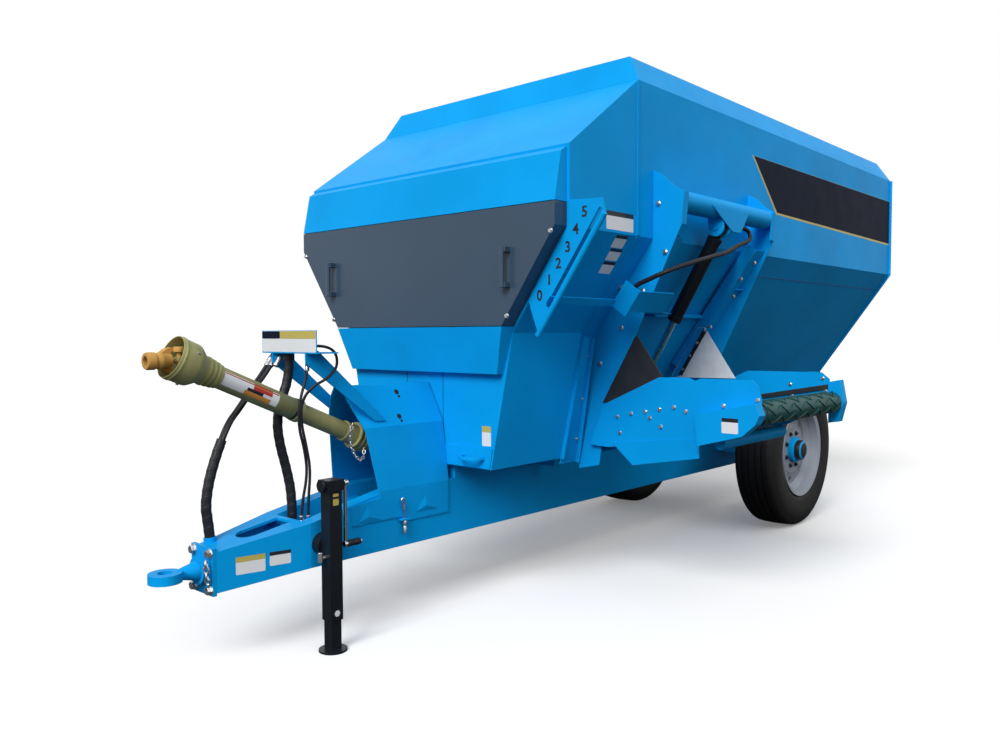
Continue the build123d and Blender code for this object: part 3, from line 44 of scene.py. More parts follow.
# Positions below are millimetres in the drawing frame: x = 0 at the hopper's front wall, y = 0 on the
# centreline and z = 0 on the ground. The stored frame has its origin in the middle of the wagon.
ORIGIN = Vector((-825.5, 282.0, 0.0))
HALF_WIDTH = 880.0
CREASE_Z = 1735.0
SLOPE_ANGLE = math.radians(35.2)
SIN, COS = math.sin(SLOPE_ANGLE), math.cos(SLOPE_ANGLE)


def place(x, y, z):
    """Point of the stored frame, in metres, for a point of the drawing frame in millimetres."""
    return (Vector((x, y, z)) - ORIGIN) / 1000


def slope(x, level, out):
    """Point on or off the hopper's left slope: level measured up from the crease, out from the face."""
    return (x, HALF_WIDTH + level * SIN + out * COS, CREASE_Z + level * COS - out * SIN)


# Camera at the photograph's angle
YAW, PITCH, ROLL = (math.radians(a) for a in (221.964, -2.737, -0.161))
CAMERA_AT = (3333.8, 3027.8, 1286.9)
FOCAL_PIXELS = 849.03
FRAME_WIDTH = 1000
SENSOR = 36.0


def add_camera():
    """Camera of the photograph, from its fitted yaw, pitch and roll."""
    forward = Vector((math.cos(YAW) * math.cos(PITCH), math.sin(YAW) * math.cos(PITCH), math.sin(PITCH)))
    side = forward.cross(Vector((0, 0, 1))).normalized()
    up = side.cross(forward)
    right = side * math.cos(ROLL) + up * math.sin(ROLL)
    top = up * math.cos(ROLL) - side * math.sin(ROLL)
    data = bpy.data.cameras.new("camera")
    data.sensor_width = SENSOR
    data.lens = FOCAL_PIXELS / FRAME_WIDTH * SENSOR
    data.clip_end = 200
    camera = bpy.data.objects.new("camera", data)
    turn = Matrix((right, top, -forward)).transposed().to_4x4()
    camera.matrix_world = Matrix.Translation(place(*CAMERA_AT)) @ turn
    bpy.context.scene.collection.objects.link(camera)
    bpy.context.scene.camera = camera


add_camera()


# Materials
class Nodes:
    """Short names for building a material's node tree."""

    def __init__(self, name):
        self.material = bpy.data.materials.new(name)
        self.material.use_nodes = True
        self.tree = self.material.node_tree
        self.shader = self.tree.nodes["Principled BSDF"]
        self.where = self.tree.nodes.new("ShaderNodeTexCoord").outputs["Object"]

    def add(self, kind, **values):
        node = self.tree.nodes.new(kind)
        for key, value in values.items():
            if key in node.inputs:
                node.inputs[key].default_value = value
            else:
                setattr(node, key, value)
        return node

    def link(self, source, target):
        self.tree.links.new(source, target)

    def noise(self, scale, detail=3.0, stretch=None):
        node = self.add("ShaderNodeTexNoise", Scale=scale, Detail=detail)
        if stretch:
            mapping = self.add("ShaderNodeMapping", Scale=stretch)
            self.link(self.where, mapping.inputs["Vector"])
            self.link(mapping.outputs["Vector"], node.inputs["Vector"])
        else:
            self.link(self.where, node.inputs["Vector"])
        return node.outputs["Fac"]

    def ramp(self, source, low, high):
        node = self.tree.nodes.new("ShaderNodeValToRGB")
        for element, position, colour in zip(node.color_ramp.elements, (0.35, 0.65), (low, high)):
            element.position = position
            element.color = colour
        self.link(source, node.inputs["Fac"])
        return node.outputs["Color"]

    def spread(self, source, low, high):
        node = self.add("ShaderNodeMapRange")
        node.inputs["To Min"].default_value = low
        node.inputs["To Max"].default_value = high
        self.link(source, node.inputs["Value"])
        return node.outputs["Result"]

    def bump(self, source, strength, distance, edge=0.0):
        node = self.add("ShaderNodeBump", Strength=strength, Distance=distance)
        self.link(source, node.inputs["Height"])
        if edge:
            bevel = self.add("ShaderNodeBevel", samples=4)
            bevel.inputs["Radius"].default_value = edge
            self.link(bevel.outputs["Normal"], node.inputs["Normal"])
        self.link(node.outputs["Normal"], self.shader.inputs["Normal"])

    def set(self, **values):
        for key, value in values.items():
            self.shader.inputs[key.replace("_", " ")].default_value = value


def shade(colour, factor):
    return tuple(min(1.0, c * factor) for c in colour) + (1.0,)


def paint(name, colour, rough=0.42, coat=0.03, vary=0.06, edge=0.0025, gloss=0.1):
    """Sprayed paint: faint cloudiness, orange peel and softened edges."""
    n = Nodes(name)
    cloud = n.noise(2.3, 4.0)
    n.link(n.ramp(cloud, shade(colour, 1 - vary), shade(colour, 1 + vary)), n.shader.inputs["Base Color"])
    n.link(n.spread(n.noise(9.0, 5.0), rough - 0.06, rough + 0.08), n.shader.inputs["Roughness"])
    n.bump(n.noise(420.0, 2.0), 0.05, 0.0006, edge)
    n.set(Coat_Weight=coat, Coat_Roughness=0.12, Specular_IOR_Level=gloss)
    return n.material


def metal(name, colour, rough, grain=None, dirt=0.25):
    """Bare or plated metal with a fine grain and darker spots."""
    n = Nodes(name)
    spots = n.noise(38.0, 6.0)
    n.link(n.ramp(spots, shade(colour, 1 - dirt), shade(colour, 1.05)), n.shader.inputs["Base Color"])
    fine = n.noise(160.0, 3.0, grain)
    n.link(n.spread(fine, rough - 0.08, rough + 0.12), n.shader.inputs["Roughness"])
    n.bump(fine, 0.08, 0.0006, 0.0015)
    n.set(Metallic=1.0)
    return n.material


def polymer(name, colour, rough, bumps=220.0, height=0.0008, vary=0.12):
    """Rubber or moulded plastic with a matte skin."""
    n = Nodes(name)
    n.link(n.ramp(n.noise(14.0, 5.0), shade(colour, 1 - vary), shade(colour, 1 + vary)),
           n.shader.inputs["Base Color"])
    n.link(n.spread(n.noise(60.0, 3.0), rough - 0.08, rough + 0.08), n.shader.inputs["Roughness"])
    n.bump(n.noise(bumps, 3.0), 0.14, height, 0.002)
    n.set(Specular_IOR_Level=0.25)
    return n.material


BLUE = (0.002, 0.325, 0.77)
M = {
    "blue": paint("blue_paint", BLUE, coat=0.0, gloss=0.05),
    "seam": paint("seam_paint", (0.001, 0.06, 0.2), 0.5, 0.0, 0.1, 0.0),
    "panel": paint("panel_paint", (0.034, 0.066, 0.11), 0.34, 0.2, 0.05, 0.0025, 0.25),
    "black": paint("black_paint", (0.006, 0.008, 0.012), 0.4, 0.1, 0.1, 0.0025, 0.2),
    "silver": paint("silver_paint", (0.3, 0.33, 0.38), 0.36, 0.2, 0.05),
    "navy": paint("navy_film", (0.006, 0.01, 0.024), 0.55, 0.0, 0.05, 0.0, 0.04),
    "yellow": paint("yellow_film", (0.5, 0.41, 0.1), 0.34, 0.2, 0.04, 0.0),
    "white": paint("white_film", (0.72, 0.75, 0.78), 0.36, 0.2, 0.03, 0.0),
    "ink": paint("ink_film", (0.02, 0.022, 0.03), 0.4, 0.2, 0.05, 0.0),
    "red": paint("red_film", (0.45, 0.03, 0.03), 0.36, 0.2, 0.05, 0.0),
    "orange": paint("orange_film", (0.62, 0.27, 0.06), 0.36, 0.2, 0.05, 0.0),
    "ochre": paint("ochre_cast", (0.5, 0.28, 0.075), 0.55, 0.0, 0.16, 0.004),
    "steel": metal("worn_steel", (0.36, 0.35, 0.33), 0.42, None, 0.35),
    "zinc": metal("zinc_plate", (0.62, 0.63, 0.64), 0.3, None, 0.2),
    "chrome": metal("chrome_rod", (0.75, 0.76, 0.78), 0.14, (1, 1, 30), 0.06),
    "rubber": polymer("black_rubber", (0.02, 0.022, 0.026), 0.55),
    "hose": polymer("hose_skin", (0.013, 0.014, 0.018), 0.42, 700.0, 0.0004),
    "tyre": polymer("tyre_rubber", (0.0095, 0.0095, 0.0105), 0.62, 120.0, 0.0012),
    "olive": polymer("olive_plastic", (0.31, 0.305, 0.13), 0.45, 300.0, 0.0003),
    "plastic": polymer("black_plastic", (0.014, 0.015, 0.018), 0.4),
    "sheet": polymer("white_sheet", (0.8, 0.84, 0.88), 0.4, 30.0, 0.001, 0.06),
    "belt": polymer("green_belt", (0.001, 0.05, 0.045), 0.42, 150.0, 0.0008, 0.2),
}

NODE_LOOKS = {
    "panel": ["cover_black"],
    "black": ["gearbox", "jack_leg", "jack_tube", "gate_cylinder_barrel"],
    "silver": ["rim_left", "rim_right"],
    "ochre": ["pto_yoke"],
    "steel": ["auger_left", "auger_right", "conveyor_rollers"],
    "chrome": ["gate_cylinder_rod", "jack_crank"],
    "rubber": ["belt_seals", "flap_rubber"],
    "tyre": ["tyre_left", "tyre_right"],
    "olive": ["pto_front_half", "pto_rear_half"],
    "sheet": ["flap_white"],
    "belt": ["conveyor_belt"],
}


def dress(node, look):
    """Give a CAD node a better material."""
    mesh = nodes[node].data
    mesh.materials.clear()
    mesh.materials.append(M[look])


for node in nodes:
    look = next((key for key, names in NODE_LOOKS.items() if node in names), "blue")
    dress(node, look)


# Building helpers
SHARP_ANGLE = math.radians(38)
STICKER_THICK, BAND_RISE, STICKER_CORNER = 0.8, 0.3, 5


def attach(piece, body):
    """Put a piece into the scene and on its body."""
    bpy.context.scene.collection.objects.link(piece)
    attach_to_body(piece, body)
    return piece


def finish_piece(name, bm, look, body="wagon", smooth=False):
    """Turn a bmesh, in millimetres of the drawing frame, into a piece that rides on a body."""
    bmesh.ops.recalc_face_normals(bm, faces=bm.faces)
    for vertex in bm.verts:
        vertex.co = place(*vertex.co)
    mesh = bpy.data.meshes.new(name)
    bm.to_mesh(mesh)
    bm.free()
    if smooth:
        mesh.shade_smooth()
        mesh.set_sharp_from_angle(angle=SHARP_ANGLE)
    mesh.materials.append(M[look])
    return attach(bpy.data.objects.new(name, mesh), body)


def slab(bm, points, thick, soft=0.0):
    """Plate through points, grown along its normal by thick, with edges rounded by soft."""
    face = bm.faces.new([bm.verts.new(p) for p in points])
    face.normal_update()
    made = bmesh.ops.extrude_face_region(bm, geom=[face])
    moved = [v for v in made["geom"] if isinstance(v, bmesh.types.BMVert)]
    bmesh.ops.translate(bm, verts=moved, vec=face.normal * thick)
    if soft:
        edges = list(dict.fromkeys(e for v in moved for e in v.link_edges))
        bmesh.ops.bevel(bm, geom=edges, offset=soft, segments=2, affect="EDGES", profile=0.6)


def rounded(points, radius, steps):
    """The outline's points with each corner rounded."""
    result = []
    count = len(points)
    for i, corner in enumerate(points):
        corner = Vector(corner)
        before = Vector(points[i - 1]) - corner
        after = Vector(points[(i + 1) % count]) - corner
        cut = min(radius, before.length * 0.45, after.length * 0.45)
        start = corner + before.normalized() * cut
        end = corner + after.normalized() * cut
        for step in range(steps + 1):
            t = step / steps
            result.append(start * (1 - t) ** 2 + corner * 2 * t * (1 - t) + end * t ** 2)
    return result


def plate(name, points, thick, look, soft=0.0):
    """One plate as a piece of its own."""
    bm = bmesh.new()
    slab(bm, points, thick, soft)
    return finish_piece(name, bm, look)


def basis(normal):
    """Matrix that turns +Z to a normal."""
    return Vector((0, 0, 1)).rotation_difference(Vector(normal)).to_matrix().to_4x4()


def screw(bm, point, normal, size):
    """Hexagon head on a washer, standing on a surface; size is across the head's corners."""
    turn = basis(normal) @ Matrix.Rotation(random.uniform(0, math.tau), 4, "Z")
    at = Matrix.Translation(Vector(point))
    for segments, radius, low, high in ((16, size * 0.62, -0.5, size * 0.12), (6, size * 0.5, 0, size * 0.5)):
        shift = Matrix.Translation((0, 0, (low + high) / 2))
        bmesh.ops.create_cone(
            bm, cap_ends=True, segments=segments, radius1=radius, radius2=radius * 0.94,
            depth=high - low, matrix=at @ turn @ shift,
        )


def screws(name, rows, look="zinc", body="wagon"):
    """A piece of many screws; each row is (points, normal, size)."""
    bm = bmesh.new()
    for points, normal, size in rows:
        for point in points:
            screw(bm, point, normal, size)
    return finish_piece(name, bm, look, body)


def skin(bm, rows, around=False, closed=False):
    """Faces between rows of vertices; around joins a row's own ends, closed the last row to the first."""
    pairs = list(zip(rows, rows[1:]))
    if closed:
        pairs.append((rows[-1], rows[0]))
    for near, far in pairs:
        for i in range(len(near) if around else len(near) - 1):
            after = (i + 1) % len(near)
            bm.faces.new((near[i], near[after], far[after], far[i]))


def lathe(bm, start, axis, profile, segments=32, closed=False):
    """Turn (distance along, radius) points about an axis; closed joins the last to the first."""
    turn = basis(axis)
    rings = []
    for along, radius in profile:
        ring = []
        for i in range(segments):
            angle = math.tau * i / segments
            local = Vector((radius * math.cos(angle), radius * math.sin(angle), along))
            ring.append(bm.verts.new(Vector(start) + turn @ local))
        rings.append(ring)
    skin(bm, rings, True, closed)
    if not closed:
        bm.faces.new(rings[0][::-1])
        bm.faces.new(rings[-1])


def turned(name, start, axis, profile, look, body="wagon", segments=32, closed=False):
    """One lathe form as a piece of its own."""
    bm = bmesh.new()
    lathe(bm, start, axis, profile, segments, closed)
    return finish_piece(name, bm, look, body, True)


def bar(bm, start, end, radius):
    """Round bar between two points, its rims a little broken."""
    run = Vector(end) - Vector(start)
    rim = min(1.2, radius / 4)
    length = run.length
    profile = [(0, radius - rim), (rim, radius), (length - rim, radius), (length, radius - rim)]
    lathe(bm, start, run, profile, 24)


def bars(name, rows, look="blue", body="wagon"):
    """A piece of round bars; each row is (start, end, radius)."""
    bm = bmesh.new()
    for start, end, radius in rows:
        bar(bm, start, end, radius)
    return finish_piece(name, bm, look, body, True)


def box(name, x, y, z):
    """Blue block with softened edges, as a piece of its own."""
    points = [(x[0], y[0], z[0]), (x[1], y[0], z[0]), (x[1], y[1], z[0]), (x[0], y[1], z[0])]
    return plate(name, points, z[1] - z[0], "blue", 1.0)


def wire(name, points, radius, look, body="wagon"):
    """Round bar or hose on a smooth line through control points."""
    data = bpy.data.curves.new(name, "CURVE")
    data.dimensions = "3D"
    data.bevel_depth = radius / 1000
    data.bevel_resolution = 4
    data.use_fill_caps = True
    spline = data.splines.new("NURBS")
    spline.points.add(len(points) - 1)
    for target, point in zip(spline.points, points):
        target.co = (*place(*point), 1.0)
    spline.order_u = 3
    spline.use_endpoint_u = True
    data.materials.append(M[look])
    return attach(bpy.data.objects.new(name, data), body)


def label(name, corners, bands):
    """Blank sticker: corners from top left round to bottom left, bands as (look, from, to) down it."""
    top_left, top_right, low_right, low_left = (Vector(c) for c in corners)
    normal = (low_left - top_left).cross(top_right - top_left).normalized()
    for i, (look, start, end) in enumerate(bands):
        lift = normal * BAND_RISE * i
        band = [
            top_left.lerp(low_left, start) + lift,
            top_left.lerp(low_left, end) + lift,
            top_right.lerp(low_right, end) + lift,
            top_right.lerp(low_right, start) + lift,
        ]
        bm = bmesh.new()
        slab(bm, rounded(band, STICKER_CORNER, 2) if i == 0 else band, STICKER_THICK)
        finish_piece(f"{name}_{i}", bm, look)


# Hoses
def ferrule(name, start, axis, radius, length, look="zinc"):
    """Crimped end of a hose, with a round collar behind it."""
    steps = [(0.0, radius), (0.06, radius + 3), (0.5, radius + 3), (0.56, radius + 1.5), (0.62, radius + 3.5),
             (0.94, radius + 3.5), (1.0, radius + 1)]
    return turned(name, start, axis, [(t * length, r) for t, r in steps], look, segments=24)


def centreline(piece):
    """Points of a hose's own line, in metres."""
    bare = piece.data.copy()
    bare.bevel_depth = 0.0
    holder = bpy.data.objects.new("line", bare)
    mesh = bpy.data.meshes.new_from_object(holder)
    points = [v.co.copy() for v in mesh.vertices]
    bpy.data.meshes.remove(mesh)
    bpy.data.objects.remove(holder)
    bpy.data.curves.remove(bare)
    return points


WRAP_STEPS = 14     # rows of a wound strip in each turn
WRAP_END = 0.02     # metres that it leaves bare at each end


def wrap(name, piece, radius, pitch, width, look, rise=0.8):
    """Strip wound round a hose in an open spiral, following the hose's own line."""
    line = centreline(piece)
    lengths = [0.0]
    for before, after in zip(line, line[1:]):
        lengths.append(lengths[-1] + (after - before).length)
    bm = bmesh.new()
    side = (line[1] - line[0]).orthogonal().normalized()
    rows = []
    step = pitch / 1000 / WRAP_STEPS
    distance, index, angle = WRAP_END, 0, 0.0
    while distance < lengths[-1] - WRAP_END:
        while lengths[index + 1] < distance:
            index += 1
        along = (line[index + 1] - line[index]).normalized()
        centre = line[index] + along * (distance - lengths[index])
        side = (side - along * side.dot(along)).normalized()
        out = Matrix.Rotation(angle, 3, along) @ side
        half = along * width / 2000
        inner, outer = out * (radius - 0.5) / 1000, out * (radius + rise) / 1000
        rows.append([bm.verts.new((centre + offset) * 1000 + ORIGIN) for offset in
                     (inner - half, outer - half * 0.7, outer + half * 0.7, inner + half)])
        distance += step
        angle += math.tau / WRAP_STEPS
    skin(bm, rows)
    return finish_piece(name, bm, look)


PORT = (-634, 1000, 1815)
COUPLER_ENDS = [(1282, -175, 1154), (1282, -143, 1154)]
SIGN_SLEEVE, TRAY_GLAND = (1238, -71, 1180), (1240, 64, 1180)
LOOP_GLAND = (1264, 150, 1242)
THIN_END, LOOP_END = (1276, 60, 490), (1252, 74, 490)
SLOPE_GLAND = slope(-100, -275, 22)
BOSS_TOP = (1622, -66, 486)
ROUTES = {  # radius and length of each hose, and the points of its line
    "hose_front_1": (9, 418, [
        COUPLER_ENDS[0], (1322.8, -175, 1099.6), (1385, -145.5, 1058), (1468, -100, 985),
        (1529, -85, 931.2), (1557, -85, 867)]),
    "hose_front_2": (9, 414, [
        COUPLER_ENDS[1], (1322.8, -143, 1099.6), (1385, -119.5, 1058), (1468, -80, 985),
        (1529, -65, 931.2), (1557, -65, 867)]),
    "hose_sleeve_front": (20, 394, [
        (1557, -75, 867), (1603.4, -75, 760.7), (1636, -72, 620), (1627, -68, 541), BOSS_TOP]),
    "hose_sleeve_rear": (20, 707, [
        SIGN_SLEEVE, (1238, -71, 1105), (1290, -71, 990), (1302, -71, 900), (1286, -71, 810),
        (1258, -71, 715), (1240, -60, 600), (1240, -60, 490)]),
    "hose_thin": (6, 703, [
        TRAY_GLAND, (1240, 64, 1118), (1276, 64, 1032), (1290, 64, 916), (1258, 64, 806),
        (1246, 64, 701), (1276, 60, 572), THIN_END]),
    "hose_loop": (6, 911, [
        LOOP_GLAND, (1206, 150, 1242), (1154, 150, 1212), (1150, 150, 1150), (1200, 146, 1105),
        (1262, 128, 1076), (1290, 94, 1018), (1288, 82, 930), (1260, 80, 822), (1240, 78, 720),
        (1252, 74, 590), LOOP_END]),
    "cylinder_hose": (10, 1385, [
        SLOPE_GLAND, slope(-98, -270, 64), (-42, 850, 1517), (-29, 905, 1531), (-24, 960, 1549),
        (-48, 1020, 1575), (-130, 1058, 1604), (-358, 1066, 1653), (-560, 1052, 1692),
        (-690, 1038, 1736), (-788, 1034, 1757), (-848, 1026, 1782), (-846, 1014, 1824),
        (-778, 1006, 1834), (-700, 1000, 1815), PORT]),
}
hoses = {}
for name, (radius, length, points) in ROUTES.items():
    hose = wire(f"{name}_line", points, radius, "hose")
    hoses[name] = hose
wrap("cylinder_hose_wrap", hoses["cylinder_hose"], 10, 15, 9, "plastic", 1.6)
wrap("front_sleeve_wrap", hoses["hose_sleeve_front"], 20, 40, 22, "plastic")
wrap("rear_sleeve_wrap", hoses["hose_sleeve_rear"], 20, 40, 22, "plastic")
UPWARDS, DOWNWARDS, BACKWARDS = (0, 0, 1), (0, 0, -1), (-1, 0, 0)
ferrule("cylinder_ferrule", PORT, BACKWARDS, 10, 46)
ferrule("thin_ferrule", THIN_END, UPWARDS, 6, 44)
ferrule("thin_ferrule_top", TRAY_GLAND, DOWNWARDS, 6, 44)
ferrule("loop_ferrule", LOOP_END, UPWARDS, 6, 44)
for number, point in enumerate(COUPLER_ENDS, 1):
    ferrule(f"front_ferrule_{number}", point, (-0.6, 0, 0.8), 9, 40)

# What the hoses are held by: couplers and glands under the sign, a plate between the rails, a boss on
# the nose, a gland on the slope and the port beside the cylinder's pin
TRAY_Z = 1210
rows = []
for y in (-175, -143, -108):
    top = Vector((1240, y, TRAY_Z))
    rows.append((top, top + Vector((42, 0, -56)), 12))
    rows.append((top + Vector((15, 0, -20)), top + Vector((27, 0, -36)), 15))
bars("hose_couplers", rows, "zinc")
bars("hose_glands", [((1238, -71, TRAY_Z), SIGN_SLEEVE, 24), ((1240, 64, TRAY_Z), TRAY_GLAND, 10),
                     ((1284, 150, 1242), LOOP_GLAND, 10)], "plastic")
box("hose_plate", (1190, 1295), (-92, 92), (482, 490))
bars("hose_boss", [((1619.8, -65.1, 452), BOSS_TOP, 25)])
bars("slope_gland", [(slope(-100, -275, -2), SLOPE_GLAND, 15)], "zinc")
bars("cylinder_port", [((-600, 1000, 1815), PORT, 15)], "zinc")

# Side stripe on the left wall: dark film with a yellow edge along its slanted end and its foot
Y_WALL = HALF_WIDTH + 0.2
STRIPE_EDGE = [(-3484, 2284), (-1163, 2280), (-1480, 1984), (-3484, 1954)]
STRIPE = [(-3483, 2283), (-1180, 2279), (-1492, 1996), (-3483, 1968)]
plate("stripe_edge", [(x, Y_WALL, z) for x, z in STRIPE_EDGE], STICKER_THICK, "yellow")
plate("stripe_film", [(x, Y_WALL + 0.5, z) for x, z in STRIPE], STICKER_THICK, "navy")

# Strips and seams of the sheet metal
SEAM_Y = 800.3      # just off the wall under the slope
COVER_X = 513.3     # just off the lower cover's front
GUARD_Y = 167.5     # left face of the shaft's guard
FACET_FOOT_Y, FACET_FOOT_Z = 436, 669
FACET_LEAN = (569 - FACET_FOOT_Y) / (1294 - FACET_FOOT_Z)
FACET_SIZE = math.hypot(1, FACET_LEAN)


def facet(x, z, out=0.0):
    """Point on or off the housing's lower left side, which leans outwards from its foot."""
    face_y = FACET_FOOT_Y + (z - FACET_FOOT_Z) * FACET_LEAN
    return (x, face_y + out / FACET_SIZE, z - out * FACET_LEAN / FACET_SIZE)


STRIP = [(-9, 0), (9, 0), (9, 1), (-9, 1)]
plate("post_strip", [(x, Y_WALL, 2438 if up else 1738) for x, up in STRIP], 4, "blue")
plate("slope_strip", [slope(x, -3 if up else -538, 0.3) for x, up in STRIP], 4, "blue")
SEAM = [(-1115, 1624), (-3540, 1624), (-3540, 1620), (-1115, 1620)]
plate("slope_seam", [(x, SEAM_Y, z) for x, z in SEAM], 1.2, "seam")
for name, out, thick, corners in (
    ("side_wing", 0.5, 5, [(4, 1278), (-66, 1272), (-124, 640), (4, 640)]),
    ("wing_edge", 5.5, 26, [(-60, 1272), (-66, 1272), (-124, 640), (-118, 640)]),
    ("facet_edge", 0.4, 22, [(6, 1285), (-4, 1285), (-4, 669), (6, 669)]),
):
    plate(name, [facet(x, z, out) for x, z in corners], thick, "blue", soft=1)
for name, y in (("left", 126), ("right", -126)):
    corners = [(y - 2, 772), (y + 2, 772), (y + 2, 1108), (y - 2, 1108)]
    plate(f"front_seam_{name}", [(COVER_X, *corner) for corner in corners], 1, "seam")
FLAP = [(1102, 553), (1091, 473), (1046, 466), (1030, 472), (824, 474), (800, 449), (524, 449), (524, 601),
        (940, 570)]
plate("guard_flap", [(x, GUARD_Y, z) for x, z in FLAP], 2.5, "blue", soft=0.8)
for name, x in (("a", 1010), ("b", 672)):
    bm = bmesh.new()
    top = bm.verts.new((x, 176, 500))
    foot = [bm.verts.new(p) for p in ((x - 72, 170, 479), (x + 62, 170, 479), (x + 2, 170, 548))]
    for i in range(3):
        bm.faces.new((foot[i], foot[(i + 1) % 3], top))
    finish_piece(f"guard_fold_{name}", bm, "blue")

# Round end of the drawbar's slot
NOSE_REAR, NOSE_FRONT = 1300, 1677
NOSE_LENGTH = NOSE_FRONT - NOSE_REAR
SLOT_CENTRE, SLOT_RADIUS, SLOT_END = 1485, 55, 1540


def nose_top(x, y, depth):
    """Point under the sloping top of the drawbar's nose."""
    return (x, y, 520 - (x - NOSE_REAR) * 60 / NOSE_LENGTH - depth)


bm = bmesh.new()
for side in (-1, 1):
    angles = [math.pi / 2 * i / 6 for i in range(7)]
    arc = [(SLOT_CENTRE + SLOT_RADIUS * math.cos(t), side * SLOT_RADIUS * math.sin(t)) for t in angles]
    outline = arc + [(SLOT_END, side * SLOT_RADIUS)]
    top, low = ([bm.verts.new(nose_top(x, y, depth)) for x, y in outline] for depth in (0.5, 12))
    bm.faces.new(top)
    bm.faces.new(low[::-1])
    skin(bm, [top, low], True)
finish_piece("slot_corners", bm, "blue")

# Keyholes of the guard as dark discs, painted shade in place of open holes, and the bracket of its pin
GUARD_RUN, GUARD_DROP = 97, 182     # how far the guard's slanted sheet leans out as it comes down
GUARD_OUT = Vector((0, GUARD_DROP, GUARD_RUN)).normalized()
bm = bmesh.new()
for x, z in ((742, 1023), (776, 916)):
    for shift, drop, radius in ((0, 0, 13), (-5, 20, 7)):
        low = z - drop
        at = Vector((x + shift, 33 + (1060 - low) * GUARD_RUN / GUARD_DROP, low))
        lathe(bm, at - GUARD_OUT, GUARD_OUT, [(0, radius), (1.4 + drop / 100, radius)], 20)
# The ink discs are painted shade: they stand where the keyholes would show their shaded insides
finish_piece("guard_keyhole_shade", bm, "ink")
box("guard_pin_bracket", (788, 836), (GUARD_Y, 193), (462, 468))

# Ribs of the hitch flange, spare tab of the rear guide and the conveyor's tube
HITCH = Vector((1692.5, 0, 382))
HITCH_RIB = [(48, -7), (70, -7), (70, 7), (48, 7)]
bm = bmesh.new()
for number in range(4):
    turn = Matrix.Rotation(math.radians(45 + 90 * number), 3, "X")
    slab(bm, [turn @ Vector((0, y, z)) + HITCH for y, z in HITCH_RIB], 19, 1.5)
finish_piece("hitch_ribs", bm, "blue")
TAB = [(-1108, 783), (-1038, 803), (-1038, 853), (-1108, 865)]
TAB_Z = 1533.4
plate("guide_tab", [(x, y, TAB_Z) for x, y in TAB], 6, "blue")
bars("conveyor_tube", [((-760, 1240, 800), (-111, 1240, 800), 30)])

# Jack: cover of its gear, the pin that holds it and a mark on its tube
bars("jack_gear_cover", [((1294, 236, 681), (1308, 236, 681), 26)], "black")
bars("jack_pin", [((1284, 236, 390), (1318, 236, 390), 9), ((1312, 236, 374), (1312, 236, 414), 11)], "zinc")
SIXTHS = [math.tau * i / 6 for i in range(6)]
MARK_X, MARK_Y, MARK_Z, MARK_RADIUS = 1253, 266.2, 158, 14
hexagon = [(MARK_X + MARK_RADIUS * math.cos(t), MARK_Y, MARK_Z + MARK_RADIUS * math.sin(t)) for t in SIXTHS]
plate("jack_hexagon", hexagon, 0.6, "white")

# Pipe and end rings of the gate cylinder, which hangs down from its pin
PIN = Vector((-560, 1000, 1808))
DOWN = Vector((0, -0.49393, -0.8695))
SIDE = Vector((-44, 0, 0))
bm = bmesh.new()
for start, end in ((48, 74), (490, 519)):
    lathe(bm, PIN + DOWN * start, DOWN, [(0, 34), (0, 38), (end - start, 38), (end - start, 34)], 36, True)
finish_piece("barrel_rings", bm, "black", "cylinder_barrel", True)
PORTS = (62, 416)
PIPE = [(PORTS[0], 0.7), (PORTS[0], 1), (90, 1), (390, 1), (PORTS[1], 1), (PORTS[1], 0.7)]
wire("barrel_pipe", [PIN + DOWN * d + SIDE * s for d, s in PIPE], 6, "black", "cylinder_barrel")
bars("barrel_ports", [(PIN + DOWN * d + SIDE * 0.7, PIN + DOWN * d + SIDE * 1.2, 10) for d in PORTS],
     "zinc", "cylinder_barrel")

# Blank stickers
WARN = [("white", 0.0, 1.0), ("yellow", 0.0, 0.3)]
NOTE = [("white", 0.0, 1.0), ("ink", 0.0, 0.26)]


def on_wall(x_from, x_to, z_from, z_to, y):
    """Corners of a sticker on a wall that faces +Y."""
    return [(x_from, y, z_to), (x_to, y, z_to), (x_to, y, z_from), (x_from, y, z_from)]


def on_front(y_from, y_to, z_from, z_to, x):
    """Corners of a sticker on a face that looks forward."""
    return [(x, y_from, z_to), (x, y_to, z_to), (x, y_to, z_from), (x, y_from, z_from)]


label("gauge_sticker", on_wall(248, 36, 1747, 1828, Y_WALL), NOTE)
for number, (x, low, high) in enumerate(((112, -72, -8), (100, -138, -76), (96, -208, -144))):
    corners = [(x + 46, high), (x - 46, high), (x - 46, low), (x + 46, low)]
    label(f"slope_sticker_{number}", [slope(*corner, 0.3) for corner in corners], NOTE)
label("service_sticker", on_front(380, 435, 778, 869, COVER_X + 0.1), WARN)
label("drive_sticker", on_front(1285, 1362, 856, 922, -43.7), NOTE)
NOSE_LEAN = (162 - 80) / NOSE_LENGTH


def nose_side(x, z):
    """Point on the drawbar nose's left side, a little proud of it."""
    return (x, 162 - (x - NOSE_REAR) * NOSE_LEAN + 0.4, z)


for name, start, end, low, high, bands in (
    ("nose_sticker_front", 1605, 1490, 358, 427, WARN), ("nose_sticker_rear", 1473, 1387, 372, 427, NOTE),
):
    corners = [(start, high), (end, high), (end, low), (start, low)]
    label(name, [nose_side(*corner) for corner in corners], bands)
label("jack_sticker", on_wall(1268, 1240, 600, 648, 266.3), [("yellow", 0.0, 1.0), ("ink", 0.25, 0.45)])
label("sign_face", on_front(-193, 193, 1216, 1304, 1288.2), [("white", 0.0, 1.0)])
label("sign_head_left", on_front(-192, -60, 1272, 1303, 1289.2), [("navy", 0.0, 1.0)])
label("sign_head_right", on_front(-59, 192, 1272, 1303, 1289.2), [("yellow", 0.0, 1.0)])

